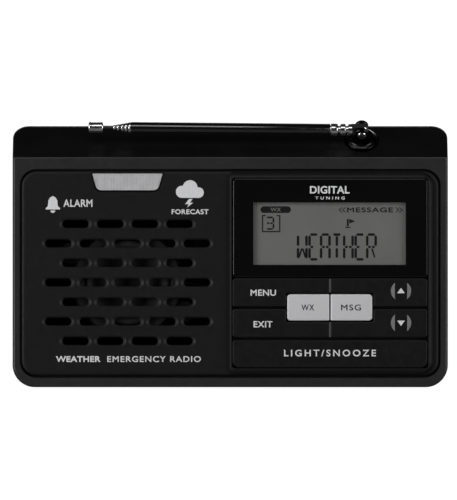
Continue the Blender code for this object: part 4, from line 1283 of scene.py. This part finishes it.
def make_thumbwheel():
    teeth, outer, valley, edge = 72, 9.0, 8.65, 8.55
    outline, crest = [], []
    for step in range(teeth * 2):
        angle = math.pi * step / teeth
        for points, radius in ((outline, valley if step % 2 else outer), (crest, edge)):
            points.append((WHEEL[0] + radius * math.cos(angle), WHEEL[1] + radius * math.sin(angle)))
    layers = [(crest, -14.0), (outline, -13.7), (outline, -11.5), (crest, -11.2)]
    dress(stack("volume_thumbwheel", layers, FACE, 20), KEY_BLACK, "key", "volume_knob", "volume_wheel")


def make_power_slider():
    middle, up, depth = SWITCH
    place = FACE @ moved(0, up, depth)
    knob = block("power_thumb", (middle - 2.0, -2.2, -1.3), (middle + 2.3, 2.2, 1.3), place)
    bevel(knob, 0.18, 3)
    start = middle + 1.85
    lows = (-1.35, -0.6, 0.2, 0.95)
    cut(knob, *(block("ridge_gap", (start, low, -2), (84, low + 0.35, 2), place) for low in lows))
    dress(knob, KEY_BLACK, "key", "power_knob", "power_slider")


# ---------------------------------------------------------------- speaker
def make_speaker():
    place = FACE @ moved(*SPEAKER, 0)
    basket = lathe(
        "speaker_basket",
        [
            (20.0, -3.35), (20.0, -5.0), (17.5, -5.6), (12.5, -11.8), (7.0, -11.8), (7.0, -10.9),
            (12.0, -10.9), (16.4, -4.9), (16.4, -3.3), (16.6, -3.2), (19.85, -3.2),
        ],
        place,
        96,
        True,
    )
    dress(basket, BASKET, "steel", replaces="speaker_frame")
    cone = lathe(
        "speaker_paper_cone",
        [
            (0, -6.9), (1.5, -6.95), (3.0, -7.2), (4.5, -7.65), (6.0, -8.3), (9.0, -6.8), (12.2, -5.1),
            (13.0, -4.4), (13.5, -3.85), (14.2, -3.5), (15.0, -3.5), (15.5, -3.85), (15.8, -4.0), (6.2, -9.4),
            (0, -9.4),
        ],
        place,
        96,
    )
    dress(cone, CONE, "cone_paper", replaces="speaker_cone")


make_mast()
make_swivel()
make_rear_housing()
make_case_screws()
make_battery_door()
make_feet()
make_sockets()
make_thumbwheel()
make_power_slider()
make_speaker()

# ---------------------------------------------------------------- carried-over CAD nodes
paint(STEEL, "tuner_shield", "volume_pot", "switch_body", "contact_positive", "contact_negative")
paint(STEEL, "contact_bridge_left", "contact_bridge_right")
paint(STEEL, *(f"battery_spring_{number}" for number in range(1, 4)))
paint(BASKET, "speaker_magnet", "speaker_retainer")
paint(BOARD, "main_board", "power_board")
paint(WHITE_PLASTIC, "lcd_holder", "lcd_backlight")
paint(SILICONE, "key_membrane")
paint(LAMP, "alert_lamp")
paint(WIRE, "speaker_lead", "antenna_lead", "power_lead")
paint(BRASS, "antenna_nut", "antenna_lug")


# ---------------------------------------------------------------- stage
VIEW_CENTRE = (-0.64, 52.25)
VIEW_HEIGHT = 189.45
CAMERA_DISTANCE = 4000.0
SENSOR = 36.0


def look_at(item, target):
    item.rotation_euler = (Vector(target) - item.location).to_track_quat("-Z", "Y").to_euler()


def make_camera():
    data = bpy.data.cameras.new("camera")
    data.sensor_width = SENSOR
    data.lens = SENSOR * CAMERA_DISTANCE / VIEW_HEIGHT
    data.clip_end = 100
    camera = place_object("camera", data)
    spot = FACE @ Vector((*VIEW_CENTRE, CAMERA_DISTANCE))
    camera.location = spot * MM
    camera.rotation_euler = (math.radians(90 - FACE_LEAN), 0, 0)
    bpy.context.scene.camera = camera


def softbox(name, spot, target, size, radiance):
    data = bpy.data.lights.new(name, "AREA")
    data.shape = "RECTANGLE"
    data.size, data.size_y = size
    data.energy = radiance * math.pi * size[0] * size[1]
    lamp = place_object(name, data)
    lamp.location = spot
    look_at(lamp, target)


def only_for_camera(tree, target, shown, unseen):
    """Gives an input one value for the camera's own rays and another for reflected light."""
    path = tree.nodes.new("ShaderNodeLightPath")
    strength = tree.nodes.new("ShaderNodeMapRange")
    strength.inputs["To Min"].default_value = unseen
    strength.inputs["To Max"].default_value = shown
    tree.links.new(path.outputs["Is Camera Ray"], strength.inputs["Value"])
    tree.links.new(strength.outputs["Result"], target)


def make_floor():
    form = bmesh.new()
    bmesh.ops.create_grid(form, x_segments=1, y_segments=1, size=6)
    floor = place_object("floor", mesh_of("floor", form))
    material, tree, inputs = principled("floor_white", (0.3, 0.3, 0.3), 0.8, specular=0)
    inputs["Emission Color"].default_value = (1, 1, 1, 1)
    only_for_camera(tree, inputs["Emission Strength"], 0.95, 0.0)
    floor.data.materials.append(material)


def make_world():
    world = bpy.data.worlds.new("studio")
    world.use_nodes = True
    inputs = world.node_tree.nodes["Background"].inputs
    inputs["Color"].default_value = (1, 1, 1, 1)
    only_for_camera(world.node_tree, inputs["Strength"], 1.0, 0.03)
    bpy.context.scene.world = world


def make_lights():
    middle = (0, 0, 0.05)
    softbox("left_softbox", (-1.25, -0.85, 0.40), middle, (0.8, 1.1), 6.8)
    softbox("right_softbox", (1.25, -0.85, 0.40), middle, (0.8, 1.1), 4.2)
    softbox("rear_softbox", (0, 1.6, 0.50), middle, (1.6, 0.4), 2.4)
    softbox("key_softbox", (-0.10, -0.52, 1.05), middle, (1.1, 0.36), 3.4)


make_camera()
make_floor()
make_world()
make_lights()
bpy.context.scene.view_settings.view_transform = "Standard"
